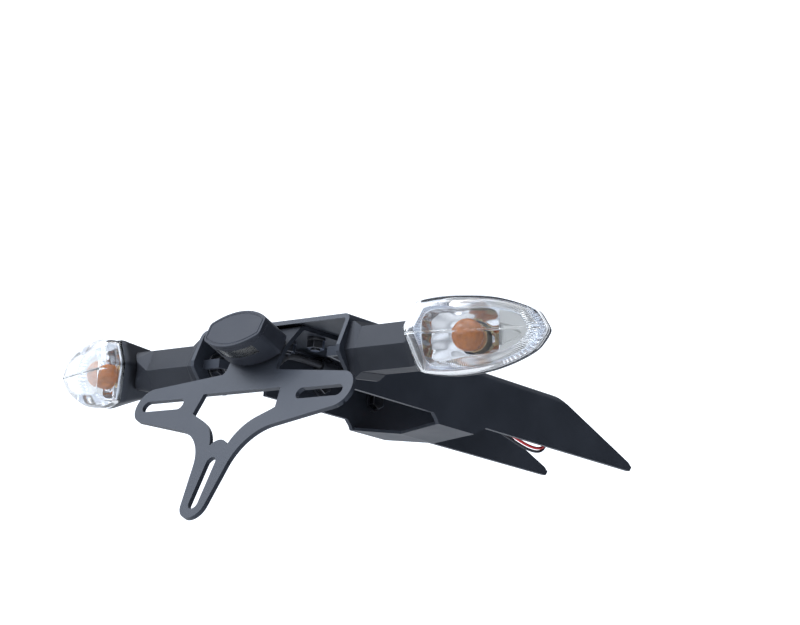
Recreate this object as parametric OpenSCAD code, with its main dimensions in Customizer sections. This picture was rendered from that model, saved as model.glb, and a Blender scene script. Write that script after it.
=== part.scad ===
// Tail tidy for a motorbike: folded steel channel bracket, three-armed plate hanger,
// LED plate lamp and two teardrop indicators on rubber stalks.
// Millimetres. +X is the bike's right, +Y its front, +Z up from the deck's top face.
// The origin is the middle of the four fixing holes, on the deck's top face.

/* [Sheet and channel] */
// Thickness of every folded steel sheet
sheet_t = 3; // [2:0.5:4]
// Inside radius of every fold
fold_r = 2; // [1:0.5:3]
// Half width of the channel over its side panels
channel_half = 40; // [36:1:48]
// Depth of the side panels below the deck's top face
side_h = 38; // [34:1:46]
// How far the deck runs forward of the fixing centre
deck_front = 107; // [95:1:125]
// How far the deck runs back from the fixing centre
deck_rear = 134; // [128:1:138]
// How far the side panels' pointed noses run forward of the fixing centre
nose_front = 200; // [180:1:220]
// Height of the nose's lower corner band
nose_h = 5; // [3:0.5:8]

/* [Bike fixing] */
// Hole spacing across the bike
fix_x = 44; // [36:1:50]
// Hole spacing along the bike
fix_y = 90; // [70:1:110]
// Fixing hole diameter, for M6
fix_d = 6.6; // [5.5:0.1:8.5]

/* [Belly strap] */
// Strap length along the bike
strap_l = 38; // [30:1:46]
// Strap centre, behind or ahead of the fixing centre
strap_y = 1.5; // [-10:0.5:10]
// Strap depth below the side panels' lower edge
strap_drop = 6.5; // [5:0.5:10]
// How much lower the strap's middle crease is
strap_v = 3; // [0:0.5:5]
// How far forward the crease sits from the strap's ends
strap_sweep = 8; // [0:0.5:12]

/* [Indicator ears] */
// Half width over the two ears that carry the indicators
ear_half = 66; // [62:1:74]
// Length of the ears along the bike
ear_l = 38; // [36:1:42]
// How far the ears' rear point stands behind the deck's rear edge
ear_tail = 7; // [5:0.5:10]
// Height of the ears
ear_h = 37; // [35:1:40]
// Depth of the ear's rear point below the deck
ear_point = 23.3; // [20:0.1:26]
// Indicator hole diameter
ear_hole = 10.4; // [10.3:0.1:12]
// Height of the brace between ear and side panel
brace_h = 6; // [5:0.5:10]
// How far the brace runs inboard before it bends forward
brace_run = 18; // [12:0.5:20]

/* [Plate hanger] */
// Lean of the hanger from square to the deck
hanger_lean = 21.5; // [15:0.5:27]
// Upper slot centre line behind the deck's rear edge
hanger_back = 23.7; // [20:0.1:28]
// Upper slot centre line below the deck
hanger_z = 54.1; // [50:0.1:58]
// Half width over the two arms
hanger_half = 95; // [88:0.5:105]
// Radius of the arm ends
arm_r = 12.6; // [11:0.1:14]
// Slot width
slot_w = 7.8; // [6.5:0.1:9]
// Inner ends of the upper slots, from the middle
slot_in = 50; // [48:0.5:54]
// Outer ends of the upper slots, from the middle
slot_out = 88; // [80:0.5:90]
// Leg length below the upper slots' centre line
leg_l = 84.4; // [78:0.1:92]
// Radius of the fillets between leg and arms
crotch_r = 32.6; // [24:0.1:36]
// Radius of the leg's foot
leg_r = 10.6; // [9:0.1:12]
// Top of the leg's slot, below the upper slots' centre line
leg_slot_top = 42; // [41:0.5:46]
// Bottom of the leg's slot, below the upper slots' centre line
leg_slot_end = 78; // [66:0.5:80]
// Half width of the tongue that carries the lamp
tongue_half = 22; // [20:0.5:24]
// Lean of the tongue from square to the deck
tongue_lean = 39; // [35:1:42]
// Height of the tongue's lower bend above the slot centre line
tongue_bend = 36; // [35:0.5:37]

/* [Plate lamp] */
// Half width of the lamp's barrel-shaped face
lamp_a = 24.6; // [22:0.1:28]
// Half height of the lamp's face
lamp_b = 13.3; // [12:0.1:15]
// Radius of the face's long arcs
lamp_arc = 45; // [38:1:60]
// Radius of the face's corners
lamp_end_r = 3.5; // [2.5:0.5:5]
// Lamp axis above the upper slots' centre line, up the sheet
lamp_rise = 35.8; // [34:0.1:38]
// Depth of the lamp from its face to the rubber pad
lamp_back = 21.1; // [18:0.1:26]
// Wall of the lamp housing
lamp_wall = 2; // [1.5:0.1:2.6]
// Thickness of the lamp's rubber pad
pad_t = 3; // [2:0.5:4]
// Number of LEDs
led_count = 5; // [3:1:6]

/* [Indicators] */
// Lean of the indicators that stands them upright on the bike
upright = 7.5; // [5:0.5:10]
// Indicator axis ahead of the deck's rear edge
ind_in = 14; // [13:0.5:15]
// Indicator axis below the deck
ind_z = 21.4; // [20.5:0.1:22]
// Half depth of the stalk, front to back
stalk_d = 17; // [15:0.5:18]
// Half height of the stalk
stalk_h = 13.8; // [12:0.1:15]
// Distance from the middle of the bike to the lens corner
lens_x = 122.8; // [115:0.1:135]
// How far the lens corner stands behind the indicator axis
lens_y = 26.3; // [25:0.1:28]
// Sweep of the lens
sweep = 20; // [15:1:25]
// Length of the lens
lens_l = 89.3; // [82:0.1:96]
// Half height of the lens
lens_h = 23; // [21:0.1:25]
// Depth of the lens dome
lens_dome = 17; // [13:0.5:20]
// Wall of lens and housing
lens_wall = 2; // [1.6:0.1:2.4]
// Depth of the housing behind the lens
shell_d = 24; // [22:0.5:28]
// How much smaller the housing's back is than its rim, all round
shell_in = 9; // [7:0.5:10]
// Bulb glass diameter
bulb_d = 18; // [16:0.5:19]

/* [Hardware] */
// Thread diameter of the bracket screws
m6 = 6; // [5:1:6]
// Clearance on hole diameters
hole_gap = 0.6; // [0.4:0.1:1]
// Gap left between seated pieces
seat = 0.1; // [0.05:0.05:0.3]
// Thread diameter of the indicators' hollow studs
stud_d = 10; // [9:0.5:10]
// Wire diameter
wire_d = 2; // [1.6:0.1:2.2]
// Diameter of the lamp's cable
cable_d = 5; // [4.4:0.1:5.4]

/* [Hidden] */
$fn = 64;
paint = [0.30, 0.32, 0.36];
plastic = [0.20, 0.21, 0.24];
rubber = [0.14, 0.14, 0.15];
clear = [0.88, 0.92, 0.96, 0.45];
amber = [0.95, 0.55, 0.16];
zinc = [0.72, 0.73, 0.75];
inner_half = channel_half - sheet_t;
top_x = [-1, 1];
// How far straight edges start inside the arcs and faces that they run into
hair = 0.01;
// Places along the bike that follow the deck's rear edge
ear_rear = deck_rear + ear_tail;
ear_front = ear_rear - ear_l;
ind_y = deck_rear - ind_in;
hanger_y = deck_rear + hanger_back;
// Hanger screws' distance from the middle, and the tab's length
tab_x = 13;
tab_l = 34;
// Point where the tongue bends, in the side view
bend_y = -hanger_y + tongue_bend * sin(hanger_lean);
bend_z = -hanger_z + tongue_bend * cos(hanger_lean);
// Upper bend of the tongue, at the deck's underside
tab_top = -sheet_t - seat;
knee_y = bend_y + (tab_top - bend_z) * tan(tongue_lean);
// Hanger screws' distance ahead of that bend
tab_back = 22;
tab_y = -knee_y - tab_back;
// Distance from the lamp's face to the hanger's rear face
lamp_reach = lamp_back + pad_t;
// Lamp screws: across from the middle, and below the lamp's axis
lamp_sx = 12;
lamp_sy = 6;
m4 = 4;
// Thickness of the hanger's washers
washer_t = 1.6;
// Wire exit below the lamp's axis
exit_y = 5;
// Play of the cable in the lamp's holes
cable_gap = 1.6;
// Hundredth of the lens's length
u = lens_l / 100;
// Bulb's place along the lens
bulb_s = 44.8 * u;
// How far the stud reaches inwards from the ear's outer face
stud_in = 13.5;
// Thickness of the studs' washers
stud_washer_t = 1.5;
// Cable clips on the left side panel: places along the bike, and depth below the deck
clip_ys = [1, -52];
clip_z = -21.5;
// Thread of the clips' screws, and the clips' thickness and width
clip_d = 6;
clip_t = 2;
clip_w = 12;
// Middle of a clip's loop, from the clip screw: inboard and up
loop_at = [5.2, 12.5];
// Route from behind the lamp, under the deck, through the clips, down in a loop and back to the plug
wire_route = [
  [0, -151.5, -24], [0, -145, -26.5], [0, -137, -29], [-7, -122, -24], [-20, -100, -13], [-30, -74, -9],
  [-31.7, -52, -9], [-31.7, -20, -9], [-31.7, 1, -9], [-31, 18, -9], [-22, 40, -11], [2, 62, -19],
  [20, 82, -33], [27, 96, -39], [29, 107, -38], [28, 113, -30], [23, 111, -18], [18, 105, -11], [16, 97, -9]
];
// Smoothed route, and its point where the cable's jacket ends
wire_path = smooth(wire_route, 5);
cable_end = 45;
// Half the step from one wire to the other
wire_step = 0.42 * wire_d * [1.2, -0.9, 1.2];

// Flat shapes

// Tangent strip round two circles
module link(a, ra, b, rb) {
  d = norm(b - a);
  dir = atan2(b[1] - a[1], b[0] - a[0]);
  lift = acos((ra - rb) / d);
  translate(a) circle(ra);
  translate(b) circle(rb);
  polygon([
    a + ra * [cos(dir + lift), sin(dir + lift)],
    b + rb * [cos(dir + lift), sin(dir + lift)],
    b + rb * [cos(dir - lift), sin(dir - lift)],
    a + ra * [cos(dir - lift), sin(dir - lift)]
  ]);
}

// Straight slot between two points
module slot(a, b, w) {
  link(a, w / 2, b, w / 2);
}

// Fillet of radius r in the corner p between the directions u and v
module fillet(p, u, v, r) {
  half = acos(u * v) / 2;
  reach = r / tan(half);
  mid = (u + v) / norm(u + v);
  centre = p + mid * r / sin(half);
  difference() {
    polygon([p, p + u * reach, centre, p + v * reach]);
    translate(centre) circle(r + hair);
  }
}

// Barrel outline of the lamp, shrunk inwards by in: long arcs above and below, rounded corners
module barrel(in) {
  a = lamp_a - in;
  b = lamp_b - in;
  big = lamp_arc - in;
  r = max(lamp_end_r - in, 0.6);
  e = a - r;
  rise = sqrt((big - r) * (big - r) - e * e) - (big - b);
  intersection() {
    translate([0, b - big]) circle(big, $fn = 160);
    translate([0, big - b]) circle(big, $fn = 160);
    square([2 * e * big / (big - r), 4 * b], center = true);
  }
  square([2 * a, 2 * rise], center = true);
  for (x = [-e, e], y = [-rise, rise]) translate([x, y]) circle(r + 2 * hair);
}

// Sheet laid in the side view: profile in Y and Z, extruded across X from x0 to x1
module across(x0, x1) {
  translate([x0, 0, 0]) rotate([90, 0, 90]) linear_extrude(x1 - x0) children();
}

// Right and mirrored left copy
module both() {
  children();
  mirror([1, 0, 0]) children();
}

// Metric screw along -Z from its seat at the origin, button head above
module button_screw(d, l, head_d, head_h) {
  translate([0, 0, -l]) cylinder(h = l + 0.5, d = d);
  difference() {
    union() {
      cylinder(h = head_h * 0.45, d = head_d);
      translate([0, 0, head_h * 0.45]) cylinder(h = head_h * 0.55, d1 = head_d, d2 = head_d * 0.62);
    }
    translate([0, 0, head_h * 0.4]) cylinder(h = head_h, d = d * 0.75, $fn = 6);
  }
}

// Width across flats and height of a nut for thread d
function flats(d) = d / 0.6;
function nut_h(d) = d / 1.2;

// Hexagon nut with its bore along Z
module nut(d, flats, h) {
  difference() {
    cylinder(h = h, d = flats / cos(30), $fn = 6);
    translate([0, 0, -1]) cylinder(h = h + 2, d = d + 0.2);
  }
}

// Flat washer
module washer(d, outer, h) {
  difference() {
    cylinder(h = h, d = outer);
    translate([0, 0, -1]) cylinder(h = h + 2, d = d + 0.4);
  }
}

// Profile in X and Z, extruded along Y from y0 to y1
module along(y0, y1) {
  rotate([90, 0, 0]) translate([0, 0, -y1]) linear_extrude(y1 - y0) children();
}

// Down-turned U of folded sheet, half wide over its legs
module folded_u(half) {
  outer = fold_r + sheet_t;
  difference() {
    translate([-half, -80]) square([2 * half, 80]);
    translate([-half + sheet_t, -81]) square([2 * (half - sheet_t), 81 - sheet_t - fold_r]);
    translate([-half + outer, -sheet_t - fold_r - 1]) square([2 * (half - outer), fold_r + 1]);
    for (s = top_x) {
      translate([s * (half - outer), -outer]) circle(fold_r);
      difference() {
        translate([s * (half - outer / 2 + 0.5), -outer / 2 + 0.5]) square(outer + 1, center = true);
        translate([s * (half - outer), -outer]) circle(outer);
      }
    }
  }
}

// Main bracket

// Side panel outline: Y along, Z up, with the strap's lobe and the pointed nose
module side_outline() {
  low = -side_h;
  lobe0 = strap_y - strap_l / 2;
  lobe1 = strap_y + strap_l / 2;
  polygon([
    [-ear_front - 2, 0], [deck_front, 0], [nose_front - 4, low + nose_h + 1],
    [nose_front, low + nose_h - 2], [nose_front - 2, low], [lobe1 + 12, low],
    [lobe1, low - strap_drop], [lobe0 + 2, low - strap_drop], [lobe0, low - strap_drop + 3],
    [lobe0 - 4, low], [-ear_front + 4, low], [-ear_front + 4, -7], [-ear_front - 2, -7]
  ]);
}

// Ear outline: rear point, top under the deck, straight front edge
module ear_outline() {
  polygon([
    [-deck_rear + 0.5, 0], [-ear_front, 0], [-ear_front, -ear_h + 6], [-ear_front - 6, -ear_h],
    [-deck_rear + 3, -ear_h], [-ear_rear, -ear_point - 2], [-ear_rear, -ear_point + 2]
  ]);
}

// Belly strap half: from the crease to the side panel
module strap_half() {
  low = -side_h - strap_drop;
  back = strap_y - strap_l / 2 + 2;
  run = strap_l - 2;
  hull() {
    translate([channel_half - sheet_t, back, low]) cube([sheet_t, run, 2]);
    translate([0, back + strap_sweep, low - strap_v]) cube([0.01, run - 2, 2]);
  }
}

module main_bracket() {
  color(paint) difference() {
    union() {
      intersection() {
        along(-ear_front - 2, nose_front) folded_u(channel_half);
        across(-channel_half, channel_half) side_outline();
      }
      intersection() {
        along(-ear_rear, -ear_front) folded_u(ear_half);
        across(-ear_half, ear_half) ear_outline();
      }
      both() {
        strap_half();
        brace();
      }
    }
    fixing_holes();
    both() {
      translate([tab_x, -tab_y, -sheet_t - 1]) cylinder(h = sheet_t + 2, d = m6 + hole_gap);
      translate([ear_half - sheet_t - 1, -ind_y, -ind_z]) rotate([0, 90, 0])
        cylinder(h = sheet_t + 2, d = ear_hole);
    }
    // Clip screw holes in the left side panel
    for (y = clip_ys) translate([-channel_half - 1, y, clip_z]) rotate([0, 90, 0])
      cylinder(h = sheet_t + 2, d = clip_d + hole_gap);
    // Lightening slots in the deck
    for (y = [-68, 0, 68]) translate([0, y, -sheet_t - 1]) linear_extrude(sheet_t + 2)
      slot([-12, 0], [12, 0], 14);
  }
}

// Brace folded from the ear's rear point inboard, then forward to the side panel
module brace() {
  y0 = -ear_rear + 8;
  y1 = -ear_front + 8;
  x1 = ear_half - 1;
  x0 = ear_half - brace_run;
  top = -ear_point + brace_h / 2 + 0.7;
  translate([0, 0, top - brace_h]) linear_extrude(brace_h) polygon([
    [x1, y0], [x0, y0], [channel_half - 1, y1], [channel_half - 1, y1 + 8],
    [x0 + 1.5, y0 + sheet_t], [x1, y0 + sheet_t]
  ]);
}

// Four holes for the bike's screws
module fixing_holes() {
  for (x = [-fix_x / 2, fix_x / 2], y = [-fix_y / 2, fix_y / 2])
    translate([x, y, -sheet_t - 1]) cylinder(h = sheet_t + 2, d = fix_d);
}

// Plate hanger

// Hanger face outline: X across, Y up from the slots' centre line
module hanger_outline() {
  arm = [hanger_half - arm_r, 1];
  foot = [0, -leg_l + leg_r];
  // Slopes of the arm's underside and of the leg's side
  fall = 12;
  flare = 8.5;
  ridge = [0, 22];
  // Where the arm's upper edge leaves its round end
  lift = atan2(ridge[1] - arm[1], ridge[0] - arm[0]) - acos(arm_r / norm(ridge - arm));
  top = arm + (arm_r - hair) * [cos(lift), sin(lift)];
  under = arm + (arm_r - hair) * [sin(fall), -cos(fall)];
  side = foot + (leg_r - hair) * [cos(flare), -sin(flare)];
  corner = meet(under, [cos(fall), sin(fall)], side, [sin(flare), cos(flare)]);
  difference() {
    union() {
      both() {
        translate(arm) circle(arm_r);
        polygon([ridge, top, under, corner, side, foot]);
        fillet(corner, [cos(fall), sin(fall)], [-sin(flare), -cos(flare)], crotch_r, $fn = 160);
      }
      translate(foot) circle(leg_r);
    }
    for (s = top_x) slot([s * (slot_in + slot_w / 2), 0], [s * (slot_out - slot_w / 2), 0], slot_w);
    slot([0, -leg_slot_top - slot_w / 2], [0, -leg_slot_end + slot_w / 2], slot_w);
    hanger_window();
  }
}

// Where the line through p along u crosses the line through q along v
function meet(p, u, q, v) = p + u * cross(q - p, v) / cross(u, v);

// Central opening: straight top, slanted sides, two arcs down to a small tongue
module hanger_window() {
  difference() {
    polygon([
      [-34, 5.8], [34, 5.8], [36.3, -8.5], [33.5, -10], [26, -13.5], [9, -33], [-9, -33], [-26, -13.5],
      [-33.5, -10], [-36.3, -8.5]
    ]);
    for (s = top_x) translate([s * 36.5, -41.5]) circle(29.8, $fn = 160);
    translate([0, -38.7]) circle(9.2);
  }
}

// The hanger's own frame: X across, Y up the sheet, Z out of its rear face
module hanger_frame() {
  translate([0, -hanger_y, -hanger_z]) rotate([90 - hanger_lean, 0, 0]) children();
}

module plate_hanger() {
  color(paint) difference() {
    union() {
      hanger_frame() translate([0, 0, -sheet_t]) linear_extrude(sheet_t) {
        hanger_outline();
        tongue_root();
      }
      // Tongue from the lower bend up to the deck, then the tab beneath it
      across(-tongue_half, tongue_half) tongue_profile();
    }
    both() translate([tab_x, -tab_y, tab_top - sheet_t - 1]) cylinder(h = sheet_t + 2, d = m6 + hole_gap);
    lamp_holes(m4 + hole_gap, 60);
    // Wire hole behind the lamp
    lamp_frame() translate([0, exit_y, 5]) cylinder(h = 60, d = cable_d + 1.2);
  }
}

// Root of the tongue with a fillet on each side
module tongue_root() {
  translate([-tongue_half, 10]) square([2 * tongue_half, tongue_bend - 20]);
  for (s = top_x) fillet([s * tongue_half, 19.2], [0, 1], [s * 0.985, -0.17], 6);
}

// Sheet profile along a path, its far side set off by t to the right, both faces kept inside by hair
function right(a, b) = [b[1] - a[1], a[0] - b[0]] / norm(b - a);
function miter(p, i, t) =
  let (u = right(p[max(i - 1, 0)], p[max(i, 1)]), v = right(p[min(i, len(p) - 2)], p[min(i + 1, len(p) - 1)]))
  p[i] + (u + v) * t / (1 + u * v);
function bent(p, t) =
  concat([for (i = [0:len(p) - 1]) miter(p, i, hair)], [for (i = [len(p) - 1:-1:0]) miter(p, i, t - hair)]);

// Arc points that round the corner b of the path a, b, c
function soften(a, b, c, r, n) =
  let (u = (a - b) / norm(a - b), v = (c - b) / norm(c - b), half = acos(u * v) / 2,
    centre = b + (u + v) / norm(u + v) * r / sin(half), p = b + u * r / tan(half), q = b + v * r / tan(half),
    a0 = atan2(p[1] - centre[1], p[0] - centre[0]), turn = atan2(q[1] - centre[1], q[0] - centre[0]) - a0)
  [for (i = [0:n]) centre + r * [cos(a0 + turn * i / n), sin(a0 + turn * i / n)]];

// Side profile of the tongue and its tab, with soft bends
module tongue_profile() {
  start = [bend_y, bend_z] - 11 * [sin(hanger_lean), cos(hanger_lean)];
  knee = [knee_y, tab_top];
  end = [-tab_y + tab_l / 2, tab_top];
  bend = [bend_y, bend_z];
  path = concat([start], soften(start, bend, knee, 30, 4), soften(bend, knee, end, 6, 6), [end]);
  polygon(bent(path, sheet_t));
}

// Hanger fasteners

module hanger_screws() {
  color(zinc) both() translate([tab_x, -tab_y, washer_t + seat]) button_screw(m6, 16, 10.5, 3.3);
}

module hanger_washers() {
  color(zinc) both() {
    translate([tab_x, -tab_y, seat / 2]) washer(m6, 12, washer_t);
    translate([tab_x, -tab_y, tab_top - sheet_t - seat - washer_t]) washer(m6, 12, washer_t);
  }
}

module hanger_nuts() {
  h = nut_h(m6);
  z = tab_top - sheet_t - 2 * seat - washer_t - h;
  color(zinc) both() translate([tab_x, -tab_y, z]) nut(m6, flats(m6), h);
}

// Plate lamp: face on Z = 0 of its own frame, body running to +Z

module lamp_frame() {
  hanger_frame() translate([0, lamp_rise, lamp_reach]) rotate([180, 0, 0]) children();
}

module lamp_holes(d, l) {
  for (s = top_x) lamp_frame() translate([s * lamp_sx, lamp_sy, lamp_back - 9]) cylinder(h = l, d = d);
}

module lamp_cover() {
  in = lamp_wall + seat;
  color(plastic) lamp_frame() difference() {
    union() {
      linear_extrude(3) barrel(0);
      linear_extrude(5) barrel(in);
    }
    // Groove that leaves a raised rim round the face
    translate([0, 0, -1]) linear_extrude(1.5) difference() {
      barrel(1.6);
      barrel(2.3);
    }
    translate([0, 0, 2]) linear_extrude(6) barrel(in + 2);
  }
}

module lamp_housing() {
  color(plastic) lamp_frame() difference() {
    union() {
      difference() {
        translate([0, 0, 3 + seat]) linear_extrude(lamp_back - 3 - 2 * seat) barrel(0);
        translate([0, 0, 2]) linear_extrude(lamp_back - 2 - 3)
          barrel(lamp_wall);
      }
      for (s = top_x) translate([s * lamp_sx, lamp_sy, lamp_back - 8]) cylinder(h = 7, d = 8);
    }
    for (s = top_x) translate([s * lamp_sx, lamp_sy, 2]) cylinder(h = 40, d = m4 + 2 * seat);
    translate([0, exit_y, lamp_back - 8]) cylinder(h = 20, d = cable_d + cable_gap);
    // Window in the underside
    translate([-led_count * 3.2, 6.5, 5.5]) cube([led_count * 6.4, 12, 7.5]);
  }
}

module lamp_window() {
  color(clear) lamp_frame() translate([0, 0, 5.5 + seat]) linear_extrude(7.5 - 2 * seat) intersection() {
    difference() {
      barrel(0.3);
      barrel(lamp_wall - 0.3);
    }
    translate([-led_count * 3.2 + seat, 6.5 + seat]) square([led_count * 6.4 - 2 * seat, 12]);
  }
}

module lamp_board() {
  reach = lamp_a - lamp_wall - seat;
  color([0.13, 0.3, 0.2]) lamp_frame() translate([-reach, 3, 5.2]) cube([2 * reach, 1.2, 7.5]);
}

module lamp_leds() {
  color([0.95, 0.93, 0.8]) lamp_frame() for (i = [0:led_count - 1])
    translate([(i - (led_count - 1) / 2) * 5.6 - 1.4, 4.2 + seat, 7.6]) cube([2.8, 1.6, 2.8]);
}

module lamp_pad() {
  color(rubber) lamp_frame() difference() {
    translate([0, 0, lamp_back]) linear_extrude(pad_t - seat) barrel(2.6);
    for (s = top_x) translate([s * lamp_sx, lamp_sy, 0]) cylinder(h = 60, d = m4 + hole_gap);
    translate([0, exit_y, 0]) cylinder(h = 60, d = cable_d + cable_gap);
  }
}

module lamp_screws() {
  color(zinc) lamp_frame() for (s = top_x) translate([s * lamp_sx, lamp_sy, lamp_reach + sheet_t + seat])
    button_screw(m4, 13.5, 7.4, 2.4);
}

// Indicators: built for the right side in their own upright frame

module indicator(side) {
  if (side > 0) indicator_frame() children();
  else mirror([1, 0, 0]) indicator_frame() children();
}

module indicator_frame() {
  translate([0, -ind_y, -ind_z]) rotate([upright, 0, 0]) children();
}

// Lens plane: X along the lens from its corner, Y up, Z out of the lens
module lens_frame() {
  translate([lens_x, -lens_y, 0.7]) rotate([0, 0, sweep]) rotate([90, 0, 0]) children();
}

// Teardrop outline, shrunk inwards by in: long arcs above and below, a round tip, straight inboard edges
module teardrop(in) {
  h = lens_h - in;
  top_r = 123 * u - in;
  low_r = 106.4 * u - in;
  tip_r = 22.4 * u;
  tip = lens_l - in;
  intersection() {
    translate([39.2 * u, h - top_r]) circle(top_r, $fn = 200);
    translate([37 * u, low_r - h]) circle(low_r, $fn = 200);
    union() {
      translate([-5 * u, -50 * u]) square([tip - 11.8 * u, 100 * u]);
      translate([tip - tip_r, 1.7 * u]) circle(tip_r);
    }
    polygon([
      [in * 1.3, 2], [11.8 * u + in * 0.6, lens_h - 1.6], [15.7 * u, lens_h + 5], [135 * u, lens_h + 5],
      [135 * u, -lens_h - 5], [15.7 * u, -lens_h - 5], [11.6 * u + in * 0.6, -lens_h + 4.6]
    ]);
  }
}

// Convex dish on the teardrop: a straight rim from z0 to z1, then shrinking steps [z, in]
module dish(z0, z1, in, steps) {
  hull() {
    translate([0, 0, min(z0, z1)]) linear_extrude(abs(z1 - z0)) teardrop(in, $fn = 32);
    for (k = steps) translate([0, 0, k[0]]) linear_extrude(0.01) teardrop(k[1], $fn = 32);
  }
}

module stalk_section(k) {
  polygon([
    [-stalk_h * k, -stalk_d + 6], [0, -stalk_d], [stalk_h * k, -stalk_d + 6],
    [stalk_h * k, stalk_d - 6], [0, stalk_d], [-stalk_h * k, stalk_d - 6]
  ]);
}

module stalk_solid(k, x0, x1) {
  translate([x0, 0, 0]) rotate([0, 90, 0]) rotate([0, 0, 180]) linear_extrude(x1 - x0) stalk_section(k);
}

// The housing's outer form, grown outwards by out
module shell_form(out) {
  dish(-3, -seat, -out, [[-shell_d - out, shell_in - out]]);
}

module stalk() {
  bore = stud_d + 2 * seat;
  color(rubber) difference() {
    union() {
      hull() {
        stalk_solid(1.27, ear_half + seat, ear_half + 3);
        stalk_solid(1.02, ear_half + 8, ear_half + 8.5);
      }
      stalk_solid(1, ear_half + 8, lens_x - 8);
      // Fairing into the housing's back
      hull() {
        stalk_solid(1, lens_x - 9, lens_x - 8);
        lens_frame() {
          translate([30 * u, 1, -shell_d - 0.5]) cylinder(h = 2, r = lens_h - shell_in - 1, $fn = 32);
          translate([18 * u, 1, -shell_d + 14]) cylinder(h = 2, r = lens_h - shell_in - 2, $fn = 32);
        }
      }
    }
    lens_frame() shell_form(seat);
    lens_frame() translate([0, 0, -8]) linear_extrude(60) teardrop(-seat);
    translate([ear_half - 1, 0, 0]) rotate([0, 90, 0]) cylinder(h = 80, d = bore);
  }
}

module shell() {
  color(rubber) difference() {
    lens_frame() shell_form(0);
    lens_frame() dish(-3, 1, lens_wall, [[-shell_d + lens_wall + 1, shell_in + 1.6]]);
    translate([ear_half + 20, 0, 0]) rotate([0, 90, 0]) cylinder(h = 70, d = stud_d + 2 * seat);
  }
}

module lens() {
  rim = lens_dome * 0.45;
  brow = lens_dome * 0.8;
  color(clear) lens_frame() difference() {
    dish(0, rim, 0, [[brow, 2.6], [lens_dome - 0.01, 8]]);
    dish(-1, rim - 0.5, lens_wall, [[brow - 1, 4.2], [lens_dome - lens_wall, 9.5]]);
  }
}

module reflector() {
  color([0.85, 0.86, 0.88]) difference() {
    lens_frame() {
      translate([0, 0, 0.1]) linear_extrude(1) teardrop(lens_wall + 0.3);
      dish(-2, 0.6, 6, [[-14, 12]]);
    }
    lens_frame() dish(-2, 3, 7.4, [[-12.8, 13.2]]);
    lens_frame() translate([bulb_s, 0, -40]) cylinder(h = 60, d = bulb_d + 4);
  }
}

module bulb() {
  neck = -shell_d + lens_wall + 1.4 + 12 + seat;
  color(amber) lens_frame() translate([bulb_s, 0, 0]) {
    translate([0, 0, neck - 8]) cylinder(h = 9, d = bulb_d * 0.6 - 2 * seat);
    translate([0, 0, neck]) cylinder(h = 1 - neck, d = bulb_d * 0.8);
    translate([0, 0, 1]) sphere(d = bulb_d * 0.8);
  }
}

module bulb_holder() {
  color([0.75, 0.72, 0.6]) lens_frame() translate([bulb_s, 0, -shell_d + lens_wall + 1.4])
    difference() {
      cylinder(h = 12, d = bulb_d * 0.9);
      translate([0, 0, 3]) cylinder(h = 12, d = bulb_d * 0.6);
    }
}

module stud() {
  run = lens_x - ear_half + stud_in;
  color(zinc) translate([ear_half - stud_in, 0, 0]) rotate([0, 90, 0]) difference() {
    cylinder(h = run + 10, d = stud_d);
    translate([0, 0, -1]) cylinder(h = run + 14, d = 0.56 * stud_d);
  }
}

module stud_nut() {
  h = stud_d / 2;
  x = ear_half - sheet_t - stud_washer_t - 2 * seat - h;
  color(zinc) translate([x, 0, 0]) rotate([0, 90, 0]) nut(stud_d, 1.4 * stud_d, h);
}

module stud_washer() {
  x = ear_half - sheet_t - stud_washer_t - seat;
  color(zinc) translate([x, 0, 0]) rotate([0, 90, 0]) washer(stud_d, 1.9 * stud_d, stud_washer_t);
}

// Cable clips

module clip_screw() {
  head = clip_t + 3 * seat;
  past = 0.6 * clip_d;
  shank = head + sheet_t + seat + nut_h(clip_d) + past;
  color(zinc) for (y = clip_ys) translate([-inner_half + head, y, clip_z]) rotate([0, 90, 0]) {
    translate([0, 0, -shank]) cylinder(h = shank + 0.5, d = clip_d);
    cylinder(h = clip_d / 1.5, d = flats(clip_d) / cos(30), $fn = 6);
  }
}

module clip_nut() {
  h = nut_h(clip_d);
  color(zinc) for (y = clip_ys) translate([-channel_half - h - seat, y, clip_z]) rotate([0, 90, 0])
    nut(clip_d, flats(clip_d), h);
}

module cable_clip() {
  loop = cable_d + 0.5;
  color(rubber) for (y = clip_ys) translate([-inner_half + seat, y, clip_z]) difference() {
    union() {
      rotate([0, 90, 0]) cylinder(h = clip_t, d = clip_w + 2);
      translate([0, -clip_w / 2, 0]) cube([clip_t, clip_w, 10]);
      translate([loop_at[0], -clip_w / 2, loop_at[1]]) rotate([-90, 0, 0]) cylinder(h = clip_w, d = loop + 3);
    }
    translate([-1, 0, 0]) rotate([0, 90, 0]) cylinder(h = clip_t + 3, d = clip_d + hole_gap);
    translate([loop_at[0], -clip_w / 2 - 1, loop_at[1]]) rotate([-90, 0, 0]) cylinder(h = clip_w + 2, d = loop);
  }
}

// Wires

// Smooth curve through hand-picked points, n steps to each stretch
function spline(p, i, t) =
  let (a = p[max(i - 1, 0)], b = p[i], c = p[i + 1], d = p[min(i + 2, len(p) - 1)])
  0.5 * (2 * b + (c - a) * t + (2 * a - 5 * b + 4 * c - d) * t * t + (3 * b - a - 3 * c + d) * t * t * t);
function smooth(p, n) = concat([for (i = [0:len(p) - 2], k = [0:n - 1]) spline(p, i, k / n)], [p[len(p) - 1]]);

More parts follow.
